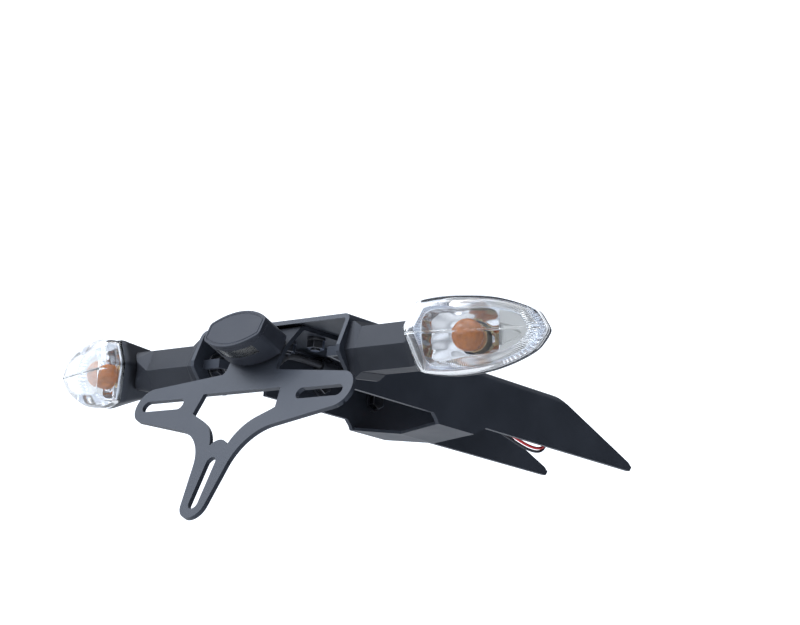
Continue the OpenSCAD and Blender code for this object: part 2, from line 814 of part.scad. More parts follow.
// Round tube along a path
module tube(path, d, sides) {
  n = len(path);
  up = [0.31, 0.05, 0.95];
  ring = [for (i = [0:n - 1])
    let (dir = path[min(i + 1, n - 1)] - path[max(i - 1, 0)], t = dir / norm(dir),
      a = cross(up, t) / norm(cross(up, t)), b = cross(t, a))
    for (k = [0:sides - 1]) path[i] + d / 2 * (a * cos(360 * k / sides) + b * sin(360 * k / sides))];
  faces = concat(
    [[for (k = [0:sides - 1]) k]],
    [for (i = [0:n - 2], k = [0:sides - 1]) let (j = (k + 1) % sides)
      [i * sides + k, (i + 1) * sides + k, (i + 1) * sides + j, i * sides + j]],
    [[for (k = [sides - 1:-1:0]) (n - 1) * sides + k]]
  );
  polyhedron(points = ring, faces = faces, convexity = 8);
}

// One core from the cable's end to the plug, stepped to its side
module strand(side) {
  first = wire_path[cable_end] + 0.15 * (wire_path[cable_end + 1] - wire_path[cable_end]);
  path = concat([first], [for (i = [cable_end + 1:len(wire_path) - 1]) wire_path[i]]);
  tube([for (p = path) p + side * wire_step], wire_d, 8);
}

module red_wire() {
  color([0.7, 0.08, 0.08]) strand(1);
}

module black_wire() {
  color([0.08, 0.08, 0.09]) strand(-1);
}

// Cable from inside the lamp to past the front clip
module lamp_cable() {
  color(rubber) tube([for (i = [0:cable_end]) wire_path[i]], cable_d, 12);
}

// Plug stuck under the deck's front end, its wires in from the front
module wire_plug() {
  color(plastic) translate([16, 97.9, -9]) difference() {
    translate([-6, -14, -4]) cube([12, 14, 9.9]);
    translate([-4, -15, -2.5]) cube([8, 10, 5]);
    translate([-3, -2, -3]) cube([6, 3, 6]);
  }
}

main_bracket();
plate_hanger();
hanger_screws();
hanger_washers();
hanger_nuts();
lamp_cover();
lamp_housing();
lamp_window();
lamp_board();
lamp_leds();
lamp_pad();
indicator(1) stalk();  // right_stalk
indicator(-1) stalk();  // left_stalk
indicator(1) shell();  // right_shell
indicator(-1) shell();  // left_shell
indicator(1) lens();  // right_lens
indicator(-1) lens();  // left_lens
indicator(1) reflector();  // right_reflector
indicator(-1) reflector();  // left_reflector
indicator(1) bulb();  // right_bulb
indicator(-1) bulb();  // left_bulb
indicator(1) bulb_holder();  // right_bulb_holder
indicator(-1) bulb_holder();  // left_bulb_holder
indicator(1) stud();  // right_stud
indicator(-1) stud();  // left_stud
indicator(1) stud_nut();  // right_stud_nut
indicator(-1) stud_nut();  // left_stud_nut
indicator(1) stud_washer();  // right_stud_washer
indicator(-1) stud_washer();  // left_stud_washer
cable_clip();
clip_screw();
clip_nut();
lamp_cable();
lamp_screws();
red_wire();
black_wire();
wire_plug();
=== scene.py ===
"""Looks for the tail tidy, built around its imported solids.

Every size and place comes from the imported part. Folded sheets and hardware keep their own forms
with softened edges, and the indicators, bulbs and wires are surfaces of two parameters.
All lengths inside the classes are in millimetres, and meshes are written in metres.
"""

import logging
import math
from dataclasses import dataclass
from enum import Enum
from typing import Any, Optional, Sequence

import bmesh
import bpy
import numpy as np
from mathutils import Matrix, Vector


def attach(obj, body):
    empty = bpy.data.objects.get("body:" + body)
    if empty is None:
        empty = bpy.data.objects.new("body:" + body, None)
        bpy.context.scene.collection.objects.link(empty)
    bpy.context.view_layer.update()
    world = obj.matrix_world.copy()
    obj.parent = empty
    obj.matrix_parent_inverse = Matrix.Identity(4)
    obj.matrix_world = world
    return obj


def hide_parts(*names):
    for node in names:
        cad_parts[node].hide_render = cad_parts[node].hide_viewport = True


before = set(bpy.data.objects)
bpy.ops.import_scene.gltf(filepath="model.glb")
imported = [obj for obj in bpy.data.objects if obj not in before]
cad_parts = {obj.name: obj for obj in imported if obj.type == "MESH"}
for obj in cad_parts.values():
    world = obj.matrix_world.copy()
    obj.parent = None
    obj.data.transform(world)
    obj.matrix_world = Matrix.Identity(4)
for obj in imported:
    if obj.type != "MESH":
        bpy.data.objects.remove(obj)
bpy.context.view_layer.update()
MM = 0.001
TURN = 2 * math.pi
# Points closer than this many metres are one point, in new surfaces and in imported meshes
SURFACE_MERGE = 2e-6
PACKED_MERGE = 1e-6
# Edges shorter than this many metres are dissolved
SHORTEST_EDGE = 1e-7
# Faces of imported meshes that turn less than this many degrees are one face
FLAT_WITHIN = 0.3
# Sharing of corner normals between wide and narrow faces
NORMAL_WEIGHT = 90
LOG = logging.getLogger("tail_tidy")
Array = np.ndarray
Colour = tuple[float, float, float]


class Side(Enum):
    """Which side of the bike a piece is on, as the sign of its X."""

    RIGHT = 1.0
    LEFT = -1.0

    @property
    def word(self) -> str:
        """The side's name as the nodes spell it."""
        return self.name.lower()


class Slot(Enum):
    """The record's material slots."""

    STEEL = "black_steel"
    LAMP = "lamp_black"
    RUBBER = "black_rubber"
    LENS = "clear_lens"
    REFLECTOR = "bright_reflector"
    AMBER = "amber_glass"
    ZINC = "zinc"
    BRASS = "bulb_cap"
    BOARD = "board"
    LED = "led"
    RED = "red_wire"
    BLACK = "black_wire"


# Surfaces


def quads(rows: int, cols: int, wrap: bool) -> Array:
    """Corner numbers of a grid's quads.

    Args:
        rows: points along the first parameter.
        cols: points along the second parameter.
        wrap: True where the last column joins the first.

    Returns:
        One row of four corner numbers a quad.
    """
    i = np.arange(rows - 1)[:, None]
    j = np.arange(cols if wrap else cols - 1)[None, :]
    k = (j + 1) % cols
    corners = [i * cols + j, i * cols + k, (i + 1) * cols + k, (i + 1) * cols + j]
    return np.stack(corners, -1).reshape(-1, 4)


def round_angles(count: int) -> Array:
    """Evenly spaced angles once round, without the last, which is the first again."""
    return np.linspace(0.0, TURN, count, endpoint=False)


def surface(name: str, grid: Array, wrap: bool = True, close: bool = False,
            sharp: float = 40.0) -> bpy.types.Object:
    """Mesh of a surface of two parameters, with poles merged and normals outwards.

    Args:
        name: the piece's name.
        grid: points in millimetres, rows by columns by three.
        wrap: True where the last column joins the first.
        close: True to fill the first and last rows with flat caps.
        sharp: angle in degrees above which an edge stays sharp.

    Returns:
        The new object, with its place in its mesh.
    """
    rows, cols = grid.shape[:2]
    faces = quads(rows, cols, wrap).tolist()
    if close:
        faces += [list(range(cols)), list(range((rows - 1) * cols, rows * cols))]
    mesh = bpy.data.meshes.new(name)
    mesh.from_pydata((grid.reshape(-1, 3) * MM).tolist(), [], faces)
    body = bmesh.new()
    body.from_mesh(mesh)
    bmesh.ops.remove_doubles(body, verts=body.verts, dist=SURFACE_MERGE)
    bmesh.ops.dissolve_degenerate(body, edges=body.edges, dist=SHORTEST_EDGE)
    bmesh.ops.recalc_face_normals(body, faces=body.faces)
    body.to_mesh(mesh)
    body.free()
    mesh.polygons.foreach_set("use_smooth", np.ones(len(mesh.polygons), bool))
    mesh.set_sharp_from_angle(angle=math.radians(sharp))
    piece = bpy.data.objects.new(name, mesh)
    bpy.context.scene.collection.objects.link(piece)
    return piece


def softened(node: str, name: str, width: float = 0.35, segments: int = 2, angle: float = 28.0,
             flat_above: float = 60.0) -> bpy.types.Object:
    """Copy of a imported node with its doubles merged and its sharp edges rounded.

    The rounded faces carry the face attribute rim = 1, and all others 0. Wide faces are shaded flat.

    Args:
        node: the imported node.
        name: the new piece's name.
        width: how far the rounding reaches from each edge, in millimetres.
        segments: faces across each rounding.
        angle: edges that turn more than this many degrees are rounded.
        flat_above: faces wider than this many square millimetres are flat.

    Returns:
        The new object, which stands for the node.
    """
    body = bmesh.new()
    body.from_mesh(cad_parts[node].data)
    bmesh.ops.remove_doubles(body, verts=body.verts, dist=PACKED_MERGE)
    bmesh.ops.dissolve_limit(body, angle_limit=math.radians(FLAT_WITHIN), verts=body.verts,
                             edges=body.edges)
    edges = [e for e in body.edges
             if len(e.link_faces) == 2 and e.calc_face_angle(0.0) > math.radians(angle)]
    for face in body.faces:
        face.material_index = 0
    bmesh.ops.bevel(body, geom=edges, offset=width * MM, offset_type="OFFSET", segments=segments,
                    profile=0.5, affect="EDGES", clamp_overlap=True, material=1)
    mesh = bpy.data.meshes.new(name)
    body.to_mesh(mesh)
    body.free()
    marks = np.zeros(len(mesh.polygons), np.int32)
    mesh.polygons.foreach_get("material_index", marks)
    rim = mesh.attributes.new("rim", "FLOAT", "FACE")
    rim.data.foreach_set("value", (marks == 1).astype(np.float32))
    mesh.polygons.foreach_set("material_index", np.zeros(len(marks), np.int32))
    area = np.zeros(len(marks), np.float32)
    mesh.polygons.foreach_get("area", area)
    mesh.polygons.foreach_set("use_smooth", area < flat_above * MM ** 2)
    piece = bpy.data.objects.new(name, mesh)
    bpy.context.scene.collection.objects.link(piece)
    weighted = piece.modifiers.new("even_shading", "WEIGHTED_NORMAL")
    weighted.keep_sharp = True
    weighted.weight = NORMAL_WEIGHT
    return piece


def dress(piece: bpy.types.Object, finish: bpy.types.Material, slot: Slot,
          *nodes: str) -> bpy.types.Object:
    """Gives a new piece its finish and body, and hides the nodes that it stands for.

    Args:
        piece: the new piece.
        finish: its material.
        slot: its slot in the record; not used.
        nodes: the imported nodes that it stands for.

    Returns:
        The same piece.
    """
    piece.data.materials.clear()
    piece.data.materials.append(finish)
    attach(piece, "root")
    if nodes:
        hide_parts(*nodes)
    LOG.info("%s: %d faces, %s", piece.name, len(piece.data.polygons), finish.name)
    return piece


def soften_all(finish: bpy.types.Material, slot: Slot,
               *rows: tuple[str, str, float]) -> None:
    """Softens and dresses nodes that share a finish.

    Args:
        finish: the material of every piece.
        slot: the slot of every piece.
        rows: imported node, new piece's name and width of the rounding, one row a node.
    """
    for node, name, width in rows:
        dress(softened(node, name, width), finish, slot, node)


# Shader effects that several finishes share


def new_group(name: str, inputs: Sequence[tuple[str, str, Any]],
              outputs: Sequence[tuple[str, str]]) -> tuple:
    """An empty node group.

    Args:
        name: the group's name.
        inputs: name, socket kind and first value of each input.
        outputs: name and socket kind of each output.

    Returns:
        The group, its input node and its output node.
    """
    tree = bpy.data.node_groups.new(name, "ShaderNodeTree")
    for label, kind, value in inputs:
        socket = tree.interface.new_socket(name=label, in_out="INPUT", socket_type="NodeSocket" + kind)
        if value is not None:
            socket.default_value = value
    for label, kind in outputs:
        tree.interface.new_socket(name=label, in_out="OUTPUT", socket_type="NodeSocket" + kind)
    return tree, tree.nodes.new("NodeGroupInput"), tree.nodes.new("NodeGroupOutput")


class Wiring:
    """Short calls that add and join nodes in one tree."""

    def __init__(self, tree: bpy.types.NodeTree) -> None:
        """Keeps the tree that the nodes go into."""
        self.tree = tree

    def add(self, kind: str, **values: Any) -> bpy.types.Node:
        """A new node of this kind, with its plain settings."""
        node = self.tree.nodes.new("ShaderNode" + kind)
        for key, value in values.items():
            setattr(node, key, value)
        return node

    def join(self, source: Any, target: Any) -> None:
        """Wires an output socket to an input socket."""
        self.tree.links.new(source, target)

    def put(self, value: Any, target: Any) -> None:
        """Sets an input socket to a number or a colour, or joins a socket to it."""
        if isinstance(value, (int, float)):
            target.default_value = value
        elif isinstance(value, tuple):
            target.default_value = (*value, 1.0)
        else:
            self.join(value, target)

    def use(self, group: bpy.types.NodeTree, **values: Any) -> bpy.types.Node:
        """A node of a shared group, with these inputs set or joined."""
        node = self.add("Group", node_tree=group)
        for name, value in values.items():
            self.put(value, node.inputs[name])
        return node

    def sums(self, operation: str, a: Any, b: Any = 0.0, clamp: bool = False) -> Any:
        """The result of a Math node on two sockets or numbers."""
        node = self.add("Math", operation=operation, use_clamp=clamp)
        self.put(a, node.inputs[0])
        self.put(b, node.inputs[1])
        return node.outputs[0]

    def times(self, a: Any, b: Any, clamp: bool = False) -> Any:
        """The product of two sockets or numbers."""
        return self.sums("MULTIPLY", a, b, clamp)

    def plus(self, a: Any, b: Any, clamp: bool = False) -> Any:
        """The sum of two sockets or numbers."""
        return self.sums("ADD", a, b, clamp)

    def blend(self, share: Any, a: Any, b: Any) -> Any:
        """Colour a where share is 0 and b where it is 1."""
        node = self.add("Mix", data_type="RGBA")
        for value, index in ((share, 0), (a, 6), (b, 7)):
            self.put(value, node.inputs[index])
        return node.outputs[2]

    def step(self, value: Any, low: float, high: float) -> Any:
        """A smooth step of value from 0 at low to 1 at high."""
        node = self.add("MapRange", interpolation_type="SMOOTHSTEP")
        self.join(value, node.inputs[0])
        node.inputs[1].default_value = low
        node.inputs[2].default_value = high
        return node.outputs[0]

    def noise(self, vector: Any, scale: Any, detail: float = 3.0, rough: float = 0.55) -> Any:
        """Noise from 0 to 1 at this scale."""
        node = self.add("TexNoise")
        for value, name in ((vector, "Vector"), (scale, "Scale"), (detail, "Detail"),
                            (rough, "Roughness")):
            self.put(value, node.inputs[name])
        return node.outputs[0]


class Effects:
    """The shared groups: orange peel, tone drift, a painted rim highlight and settled dust."""

    # Orange peel: detail of both noises, scale and share of the finer one
    PEEL_DETAIL = 2.0
    FINE_SCALE = 3.1
    FINE_SHARE = 0.33
    # Tone drift: detail of its noise, and where it begins and ends
    DRIFT_DETAIL = 4.0
    DRIFT_RANGE = (0.3, 0.7)
    # Detail of the patchy noises of the painted rim highlight and of the dust, and roughness of the
    # highlight's
    PATCH_DETAIL = 5.0
    HIGHLIGHT_ROUGH = 0.65
    # Painted rim highlight: where the patches begin and end, and how far they thin it
    HIGHLIGHT_RANGE = (0.35, 0.65)
    HIGHLIGHT_SPREAD = 0.65
    # Dust: how far up a face looks, patches, and fine specks with their scale and shares
    UP_RANGE = (0.1, 0.9)
    DUST_RANGE = (0.4, 0.7)
    SPECK_SCALE = 2600.0
    SPECK_RANGE = (0.62, 0.72)
    PATCH_SHARE = 0.7
    SPECK_SHARE = 0.5

    def __init__(self) -> None:
        """Builds each group once."""
        self.peel = self._peel()
        self.drift = self._drift()
        self.painted_highlight = self._painted_highlight()
        self.dust = self._dust()

    def _peel(self) -> bpy.types.NodeTree:
        """Skin of small soft bumps: a coarse noise plus a third of one three times finer."""
        tree, given, out = new_group(
            "orange_peel", [("Vector", "Vector", None), ("Scale", "Float", 900.0)], [("Height", "Float")])
        w = Wiring(tree)
        vector, scale = given.outputs["Vector"], given.outputs["Scale"]
        coarse = w.noise(vector, scale, self.PEEL_DETAIL)
        fine = w.noise(vector, w.times(scale, self.FINE_SCALE), self.PEEL_DETAIL)
        w.join(w.plus(coarse, w.times(fine, self.FINE_SHARE)), out.inputs["Height"])
        return tree

    def _drift(self) -> bpy.types.NodeTree:
        """Slow change between two tones, and the same change as a plain value."""
        tree, given, out = new_group(
            "tone_drift",
            [("Vector", "Vector", None), ("Scale", "Float", 30.0), ("Low", "Color", (0, 0, 0, 1)),
             ("High", "Color", (1, 1, 1, 1))],
            [("Color", "Color"), ("Value", "Float")])
        w = Wiring(tree)
        noise = w.noise(given.outputs["Vector"], given.outputs["Scale"], self.DRIFT_DETAIL)
        slow = w.step(noise, *self.DRIFT_RANGE)
        w.join(w.blend(slow, given.outputs["Low"], given.outputs["High"]), out.inputs["Color"])
        w.join(slow, out.inputs["Value"])
        return tree

    def _painted_highlight(self) -> bpy.types.NodeTree:
        """Rim mask broken up by noise: a painted highlight along the edges, in stretches."""
        tree, given, out = new_group(
            "painted_rim_highlight",
            [("Rim", "Float", 0.0), ("Vector", "Vector", None), ("Scale", "Float", 60.0),
             ("Amount", "Float", 0.5)],
            [("Mask", "Float")])
        w = Wiring(tree)
        noise = w.noise(
            given.outputs["Vector"], given.outputs["Scale"], self.PATCH_DETAIL, self.HIGHLIGHT_ROUGH)
        patches = w.step(noise, *self.HIGHLIGHT_RANGE)
        patchy = w.plus(w.times(patches, self.HIGHLIGHT_SPREAD), 1.0 - self.HIGHLIGHT_SPREAD)
        highlit = w.times(patchy, given.outputs["Rim"])
        w.join(w.times(highlit, given.outputs["Amount"], True), out.inputs["Mask"])
        return tree

    def _dust(self) -> bpy.types.NodeTree:
        """Thin dust on faces that look up, in soft patches with fine specks."""
        tree, given, out = new_group(
            "settled_dust",
            [("Vector", "Vector", None), ("Scale", "Float", 45.0), ("Amount", "Float", 0.1)],
            [("Mask", "Float")])
        w = Wiring(tree)
        split = w.add("SeparateXYZ")
        w.join(w.add("NewGeometry").outputs["Normal"], split.inputs[0])
        up = w.step(split.outputs[2], *self.UP_RANGE)
        vector = given.outputs["Vector"]
        patches = w.step(w.noise(vector, given.outputs["Scale"], self.PATCH_DETAIL), *self.DUST_RANGE)
        specks = w.step(w.noise(vector, self.SPECK_SCALE, 1.0), *self.SPECK_RANGE)
        amount = w.plus(w.times(patches, self.PATCH_SHARE), w.times(specks, self.SPECK_SHARE))
        w.join(w.times(w.times(amount, up), given.outputs["Amount"], True), out.inputs["Mask"])
        return tree


class Dressing:
    """A new material with its main shader, its Object coordinates and the shared groups at hand."""

    def __init__(self, name: str, effects: Effects) -> None:
        """Makes the material.

        Args:
            name: the material's name.
            effects: the shared groups.
        """
        self.effects = effects
        self.material = bpy.data.materials.new(name)
        self.material.use_nodes = True
        self.w = Wiring(self.material.node_tree)
        self.shader = self.material.node_tree.nodes["Principled BSDF"]
        self.place = self.w.add("TexCoord").outputs["Object"]

    def drift(self, scale: float, low: Colour, high: Colour) -> bpy.types.Node:
        """The tone drift group between two tones."""
        return self.w.use(self.effects.drift, Vector=self.place, Scale=scale, Low=low, High=high)

    def settle(self, **values: Any) -> None:
        """Sets or joins inputs of the main shader, whose names have _ for each blank."""
        for name, value in values.items():
            self.w.put(value, self.shader.inputs[name.replace("_", " ")])

    def skin(self, scale: float, strength: float, depth: float) -> None:
        """Bumps of orange peel, depth millimetres deep, on the shader's normal."""
        peel = self.w.use(self.effects.peel, Vector=self.place, Scale=scale)
        bump = self.w.add("Bump")
        for value, name in ((strength, "Strength"), (depth * MM, "Distance"),
                            (peel.outputs["Height"], "Height")):
            self.w.put(value, bump.inputs[name])
        self.settle(Normal=bump.outputs["Normal"])


@dataclass(frozen=True)
class Finish:
    """A surface finish: tone, gloss, skin and a painted edge highlight.

    The skin is a bump of orange peel, the colour drifts between two tones, and the rim of each sheet
    or moulding is paler in stretches, a painted highlight where the edges catch light.
    """

    name: str
    dark: Colour
    light: Colour
    rough: float
    rough_spread: float = 0.05
    drift_scale: float = 30.0
    peel_scale: float = 900.0
    peel_depth: float = 0.02
    peel_strength: float = 0.6
    # Paler colour on the rounded edges, and how much of it: a painted highlight, not wear.
    rim: Colour = (0.2, 0.21, 0.23)
    highlight_amount: float = 0.0
    dust: float = 0.0
    dust_tone: Colour = (0.45, 0.43, 0.4)
    dust_rough: float = 0.5
    metal: float = 0.0
    specular: float = 0.5
    # Blue tint of every reflection: painted light colour, standing for the bluish light around the part.
    reflection_blue_tint: Colour = (0.7, 0.8, 1.0)

    def make(self, effects: Effects) -> bpy.types.Material:
        """The finished material.

        Args:
            effects: the shared groups.

        Returns:
            A material that reads Object coordinates and the rim attribute.
        """
        made = Dressing(self.name, effects)
        w = made.w
        drift = made.drift(self.drift_scale, self.dark, self.light)
        colour = drift.outputs["Color"]
        rough = w.plus(w.times(drift.outputs["Value"], self.rough_spread), self.rough)
        # Painted highlight: the rounded edges turn paler in stretches.
        if self.highlight_amount:
            rim = w.add("Attribute", attribute_name="rim").outputs["Fac"]
            painted_highlight = w.use(effects.painted_highlight, Rim=rim, Vector=made.place, Amount=self.highlight_amount)
            colour = w.blend(painted_highlight.outputs["Mask"], colour, self.rim)
        if self.dust:
            dust = w.use(effects.dust, Vector=made.place, Amount=self.dust)
            colour = w.blend(dust.outputs["Mask"], colour, self.dust_tone)
            rough = w.plus(rough, w.times(dust.outputs["Mask"], self.dust_rough), True)
        made.settle(Base_Color=colour, Roughness=rough, Metallic=self.metal,
                    Specular_IOR_Level=self.specular, Specular_Tint=self.reflection_blue_tint)
        made.skin(self.peel_scale, self.peel_strength, self.peel_depth)
        return made.material


@dataclass(frozen=True)
class Glass:
    """Clear or tinted moulding: plain transmission with a faint moulded ripple.

    The haze is the share that doesn't pass light, and the patch shade is how dark the darker patches
    are; on the bulb these patches are painted shade and light for the surround seen through the glass.
    """

    name: str
    tint: Colour
    rough: float = 0.02
    index: float = 1.49
    ripple: float = 0.01
    haze: float = 0.0
    painted_patch_shade: float = 0.97
    painted_patch_scale: float = 60.0
    rough_spread: float = 0.02
    ripple_scale: float = 160.0
    ripple_strength: float = 0.3

    def make(self, effects: Effects) -> bpy.types.Material:
        """The finished material, with Metallic and Transmission Weight as plain values.

        Args:
            effects: the shared groups.

        Returns:
            A material that reads Object coordinates.
        """
        made = Dressing(self.name, effects)
        w = made.w
        # Patches between the tint and a darker tint: painted shade and light for the refracted surround.
        drift = made.drift(self.painted_patch_scale, tuple(c * self.painted_patch_shade for c in self.tint), self.tint)
        rough = w.plus(w.times(drift.outputs["Value"], self.rough_spread), self.rough)
        made.settle(Base_Color=drift.outputs["Color"], Roughness=rough, Metallic=0.0,
                    Transmission_Weight=1.0 - self.haze, IOR=self.index)
        made.skin(self.ripple_scale, self.ripple_strength, self.ripple)
        return made.material


@dataclass(frozen=True)
class Mirror:
    """Metallised bowl, cream-grey moulding where the attribute tray is 1, pale blue where band is."""

    name: str = "metallised_bowl"
    low: Colour = (0.48, 0.48, 0.50)
    high: Colour = (0.68, 0.68, 0.69)
    tray_tone: Colour = (0.60, 0.60, 0.58)
    band_tone: Colour = (0.82, 0.87, 0.95)
    drift_scale: float = 50.0
    tray_dull: float = 0.85
    band_dull: float = 0.3
    rough: float = 0.09
    rough_plain: float = 0.1
    rough_spread: float = 0.05
    peel_scale: float = 140.0
    peel_strength: float = 0.5
    peel_depth: float = 0.02

    def make(self, effects: Effects) -> bpy.types.Material:
        """The finished material: the masks mix colour, metal and gloss.

        Args:
            effects: the shared groups.

        Returns:
            A material that reads Object coordinates and both masks.
        """
        made = Dressing(self.name, effects)
        w = made.w
        drift = made.drift(self.drift_scale, self.low, self.high)
        tray = w.add("Attribute", attribute_name="tray").outputs["Fac"]
        band = w.add("Attribute", attribute_name="band").outputs["Fac"]
        plain = w.sums("MAXIMUM", tray, band)
        colour = w.blend(tray, drift.outputs["Color"], self.tray_tone)
        bare = w.times(tray, w.sums("SUBTRACT", 1.0, band))
        dull = w.plus(w.times(bare, self.tray_dull), w.times(band, self.band_dull))
        varied = w.times(drift.outputs["Value"], self.rough_spread)
        rough = w.plus(w.times(plain, self.rough_plain), varied)
        made.settle(Base_Color=w.blend(band, colour, self.band_tone),
                    Metallic=w.sums("SUBTRACT", 1.0, dull), Roughness=w.plus(rough, self.rough))
        made.skin(self.peel_scale, self.peel_strength, self.peel_depth)
        return made.material


class Palette:
    """Every finish of the part, made once."""

    # Paler coat colour on the rounded edges: a painted highlight where the edges catch light.
    COAT_EDGE_HIGHLIGHT: Colour = (0.12, 0.13, 0.16)

    def __init__(self) -> None:
        """Makes the shared groups and each material."""
        fx = Effects()
        self.powder = Finish(
            "powder_coat", (0.017, 0.020, 0.027), (0.023, 0.027, 0.036), rough=0.36, rough_spread=0.08,
            drift_scale=22.0, peel_scale=1100.0, peel_depth=0.012, rim=self.COAT_EDGE_HIGHLIGHT, highlight_amount=0.35,
            dust=0.05, specular=0.42).make(fx)
        self.lamp = Finish(
            "lamp_plastic", (0.018, 0.020, 0.027), (0.024, 0.027, 0.036), rough=0.42, rough_spread=0.08,
            drift_scale=40.0, peel_scale=2200.0, rim=self.COAT_EDGE_HIGHLIGHT, highlight_amount=0.3, dust=0.04,
            specular=0.3).make(fx)
        self.shell = Finish(
            "shell_plastic", (0.012, 0.013, 0.016), (0.017, 0.018, 0.022), rough=0.35, rough_spread=0.07,
            drift_scale=40.0, peel_scale=1500.0, peel_depth=0.01, dust=0.05).make(fx)
        self.rubber = Finish(
            "stalk_rubber", (0.013, 0.014, 0.018), (0.02, 0.022, 0.027), rough=0.42, rough_spread=0.1,
            drift_scale=35.0, peel_scale=1800.0, peel_depth=0.012, rim=(0.08, 0.085, 0.1),
            highlight_amount=0.2, dust=0.06, specular=0.28).make(fx)
        self.jacket = Finish(
            "cable_jacket", (0.02, 0.02, 0.022), (0.03, 0.03, 0.033), rough=0.42, rough_spread=0.1,
            drift_scale=80.0, peel_scale=1500.0, peel_depth=0.015, dust=0.08).make(fx)
        self.lens = Glass("clear_lens", (0.97, 0.985, 1.0), rough=0.015, ripple=0.02).make(fx)
        # The bulb's darker patches are painted shade, for the surround seen through the glass.
        self.amber = Glass(
            "amber_bulb", (1.0, 0.31, 0.03), rough=0.03, index=1.42, ripple=0.5, haze=0.62, painted_patch_shade=0.6,
            painted_patch_scale=190.0).make(fx)
        self.pane = Glass("smoked_pane", (0.1, 0.11, 0.12), rough=0.2, ripple=0.02, haze=0.2).make(fx)
        self.bowl = Mirror().make(fx)
        self.zinc = Finish(
            "black_zinc", (0.07, 0.072, 0.08), (0.115, 0.118, 0.128), rough=0.3, rough_spread=0.14,
            drift_scale=90.0, peel_scale=1600.0, peel_depth=0.01, rim=(0.3, 0.31, 0.33),
            highlight_amount=0.5, dust=0.05, metal=1.0).make(fx)
        self.brass = Finish(
            "bulb_brass", (0.6, 0.46, 0.22), (0.75, 0.6, 0.33), rough=0.3, rough_spread=0.15,
            drift_scale=90.0, peel_scale=1500.0, peel_depth=0.01, metal=1.0).make(fx)
        self.board = Finish(
            "board_green", (0.02, 0.12, 0.05), (0.04, 0.18, 0.08), rough=0.35, rough_spread=0.1,
            drift_scale=200.0).make(fx)
        self.led = Finish(
            "led_body", (0.85, 0.8, 0.55), (0.92, 0.88, 0.68), rough=0.25, rough_spread=0.1,
            drift_scale=300.0, peel_depth=0.01).make(fx)
        self.red = Finish(
            "red_insulation", (0.5, 0.02, 0.02), (0.62, 0.035, 0.03), rough=0.35, rough_spread=0.1,
            drift_scale=120.0, peel_scale=1600.0, peel_depth=0.01, dust=0.05).make(fx)
        self.black = Finish(
            "black_insulation", (0.018, 0.018, 0.02), (0.03, 0.03, 0.033), rough=0.35, rough_spread=0.1,
            drift_scale=120.0, peel_scale=1600.0, peel_depth=0.01, dust=0.05).make(fx)


# Indicators


def to_row(inset: Array, height: Array, share: Array) -> Array:
    """Rings as rows of inset, height and share."""
    return np.stack([inset, height, share], -1)


def polar(centre: tuple[float, float], distance: Array, angle: Array) -> tuple[Array, Array]:
    """X and Y of points at these distances and directions from a centre."""
    return centre[0] + distance * np.cos(angle), centre[1] + distance * np.sin(angle)


def fade(value: Array, over: float) -> Array:
    """Value over this length, held between 0 and 1."""
    return np.clip(value / over, 0, 1)


@dataclass(frozen=True)
class Teardrop:
    """Teardrop outline in the lens plane: X along the lens from its corner, Y up.

    It lies inside two long arcs, two short straight edges at the tip and four at the corner.
    """

    half_height: float = 23.0
    top_x: float = 35.0
    top_radius: float = 110.0
    belly_x: float = 33.0
    belly_radius: float = 95.0
    tip: tuple[float, float] = (89.2, 0.75)
    tip_top: tuple[float, float] = (83.0, 11.8)
    tip_low: tuple[float, float] = (82.0, -9.8)
    corner: tuple[float, float] = (0.0, 2.0)
    upper_bend: tuple[float, float] = (10.5, 21.4)
    upper_end: tuple[float, float] = (14.0, 28.0)
    lower_bend: tuple[float, float] = (10.4, -18.4)
    lower_end: tuple[float, float] = (14.0, -28.0)
    middle: tuple[float, float] = (40.0, 1.0)
    firmness: float = 46.0
    samples: int = 6001

    def reach(self, angle: Array) -> Array:
        """Distance from the middle to the outline.

        The reach is the smooth minimum (sum of the -n powers, to the power -1/n) of the distances
        along the ray to every bounding arc and edge, which rounds the corners a little.

        Args:
            angle: directions in the lens plane, in radians.

        Returns:
            The distance for each direction.
        """
        ray = np.stack([np.cos(angle), np.sin(angle)], -1)
        c = np.array(self.middle)

        def disc(centre: tuple[float, float], radius: float) -> Array:
            """Distance along the ray to the far side of a disc."""
            to = np.array(centre) - c
            along = ray @ to
            return along + np.sqrt(np.maximum(radius ** 2 - to @ to + along ** 2, 1e-9))

        def edge(a: tuple[float, float], b: tuple[float, float]) -> Array:
            """Distance along the ray to a straight edge, far away where the ray leaves it."""
            n = np.array([b[1] - a[1], a[0] - b[0]])
            gap = (np.array(a) - c) @ n
            n, gap = (n, gap) if gap > 0 else (-n, -gap)
            facing = ray @ n
            return np.where(facing > 1e-6, gap / np.maximum(facing, 1e-6), 1e6)

        bounds = np.stack([
            disc((self.top_x, self.half_height - self.top_radius), self.top_radius),
            disc((self.belly_x, self.belly_radius - self.half_height), self.belly_radius),
            edge(self.tip_top, self.tip), edge(self.tip_low, self.tip),
            edge(self.corner, self.upper_bend), edge(self.upper_bend, self.upper_end),
            edge(self.corner, self.lower_bend), edge(self.lower_bend, self.lower_end)])
        return (bounds ** -self.firmness).sum(0) ** (-1.0 / self.firmness)

    def even_angles(self, count: int) -> Array:
        """Directions that cut the outline into stretches of one length.

        Args:
            count: how many stretches.

        Returns:
            One direction a stretch, in radians.
        """
        fine = np.linspace(0.0, TURN, self.samples)
        line = np.stack([np.cos(fine), np.sin(fine)], -1) * self.reach(fine)[:, None]
        run = np.concatenate([[0.0], np.cumsum(np.linalg.norm(np.diff(line, axis=0), axis=1))])
        return np.interp(np.linspace(0.0, run[-1], count, endpoint=False), run, fine)


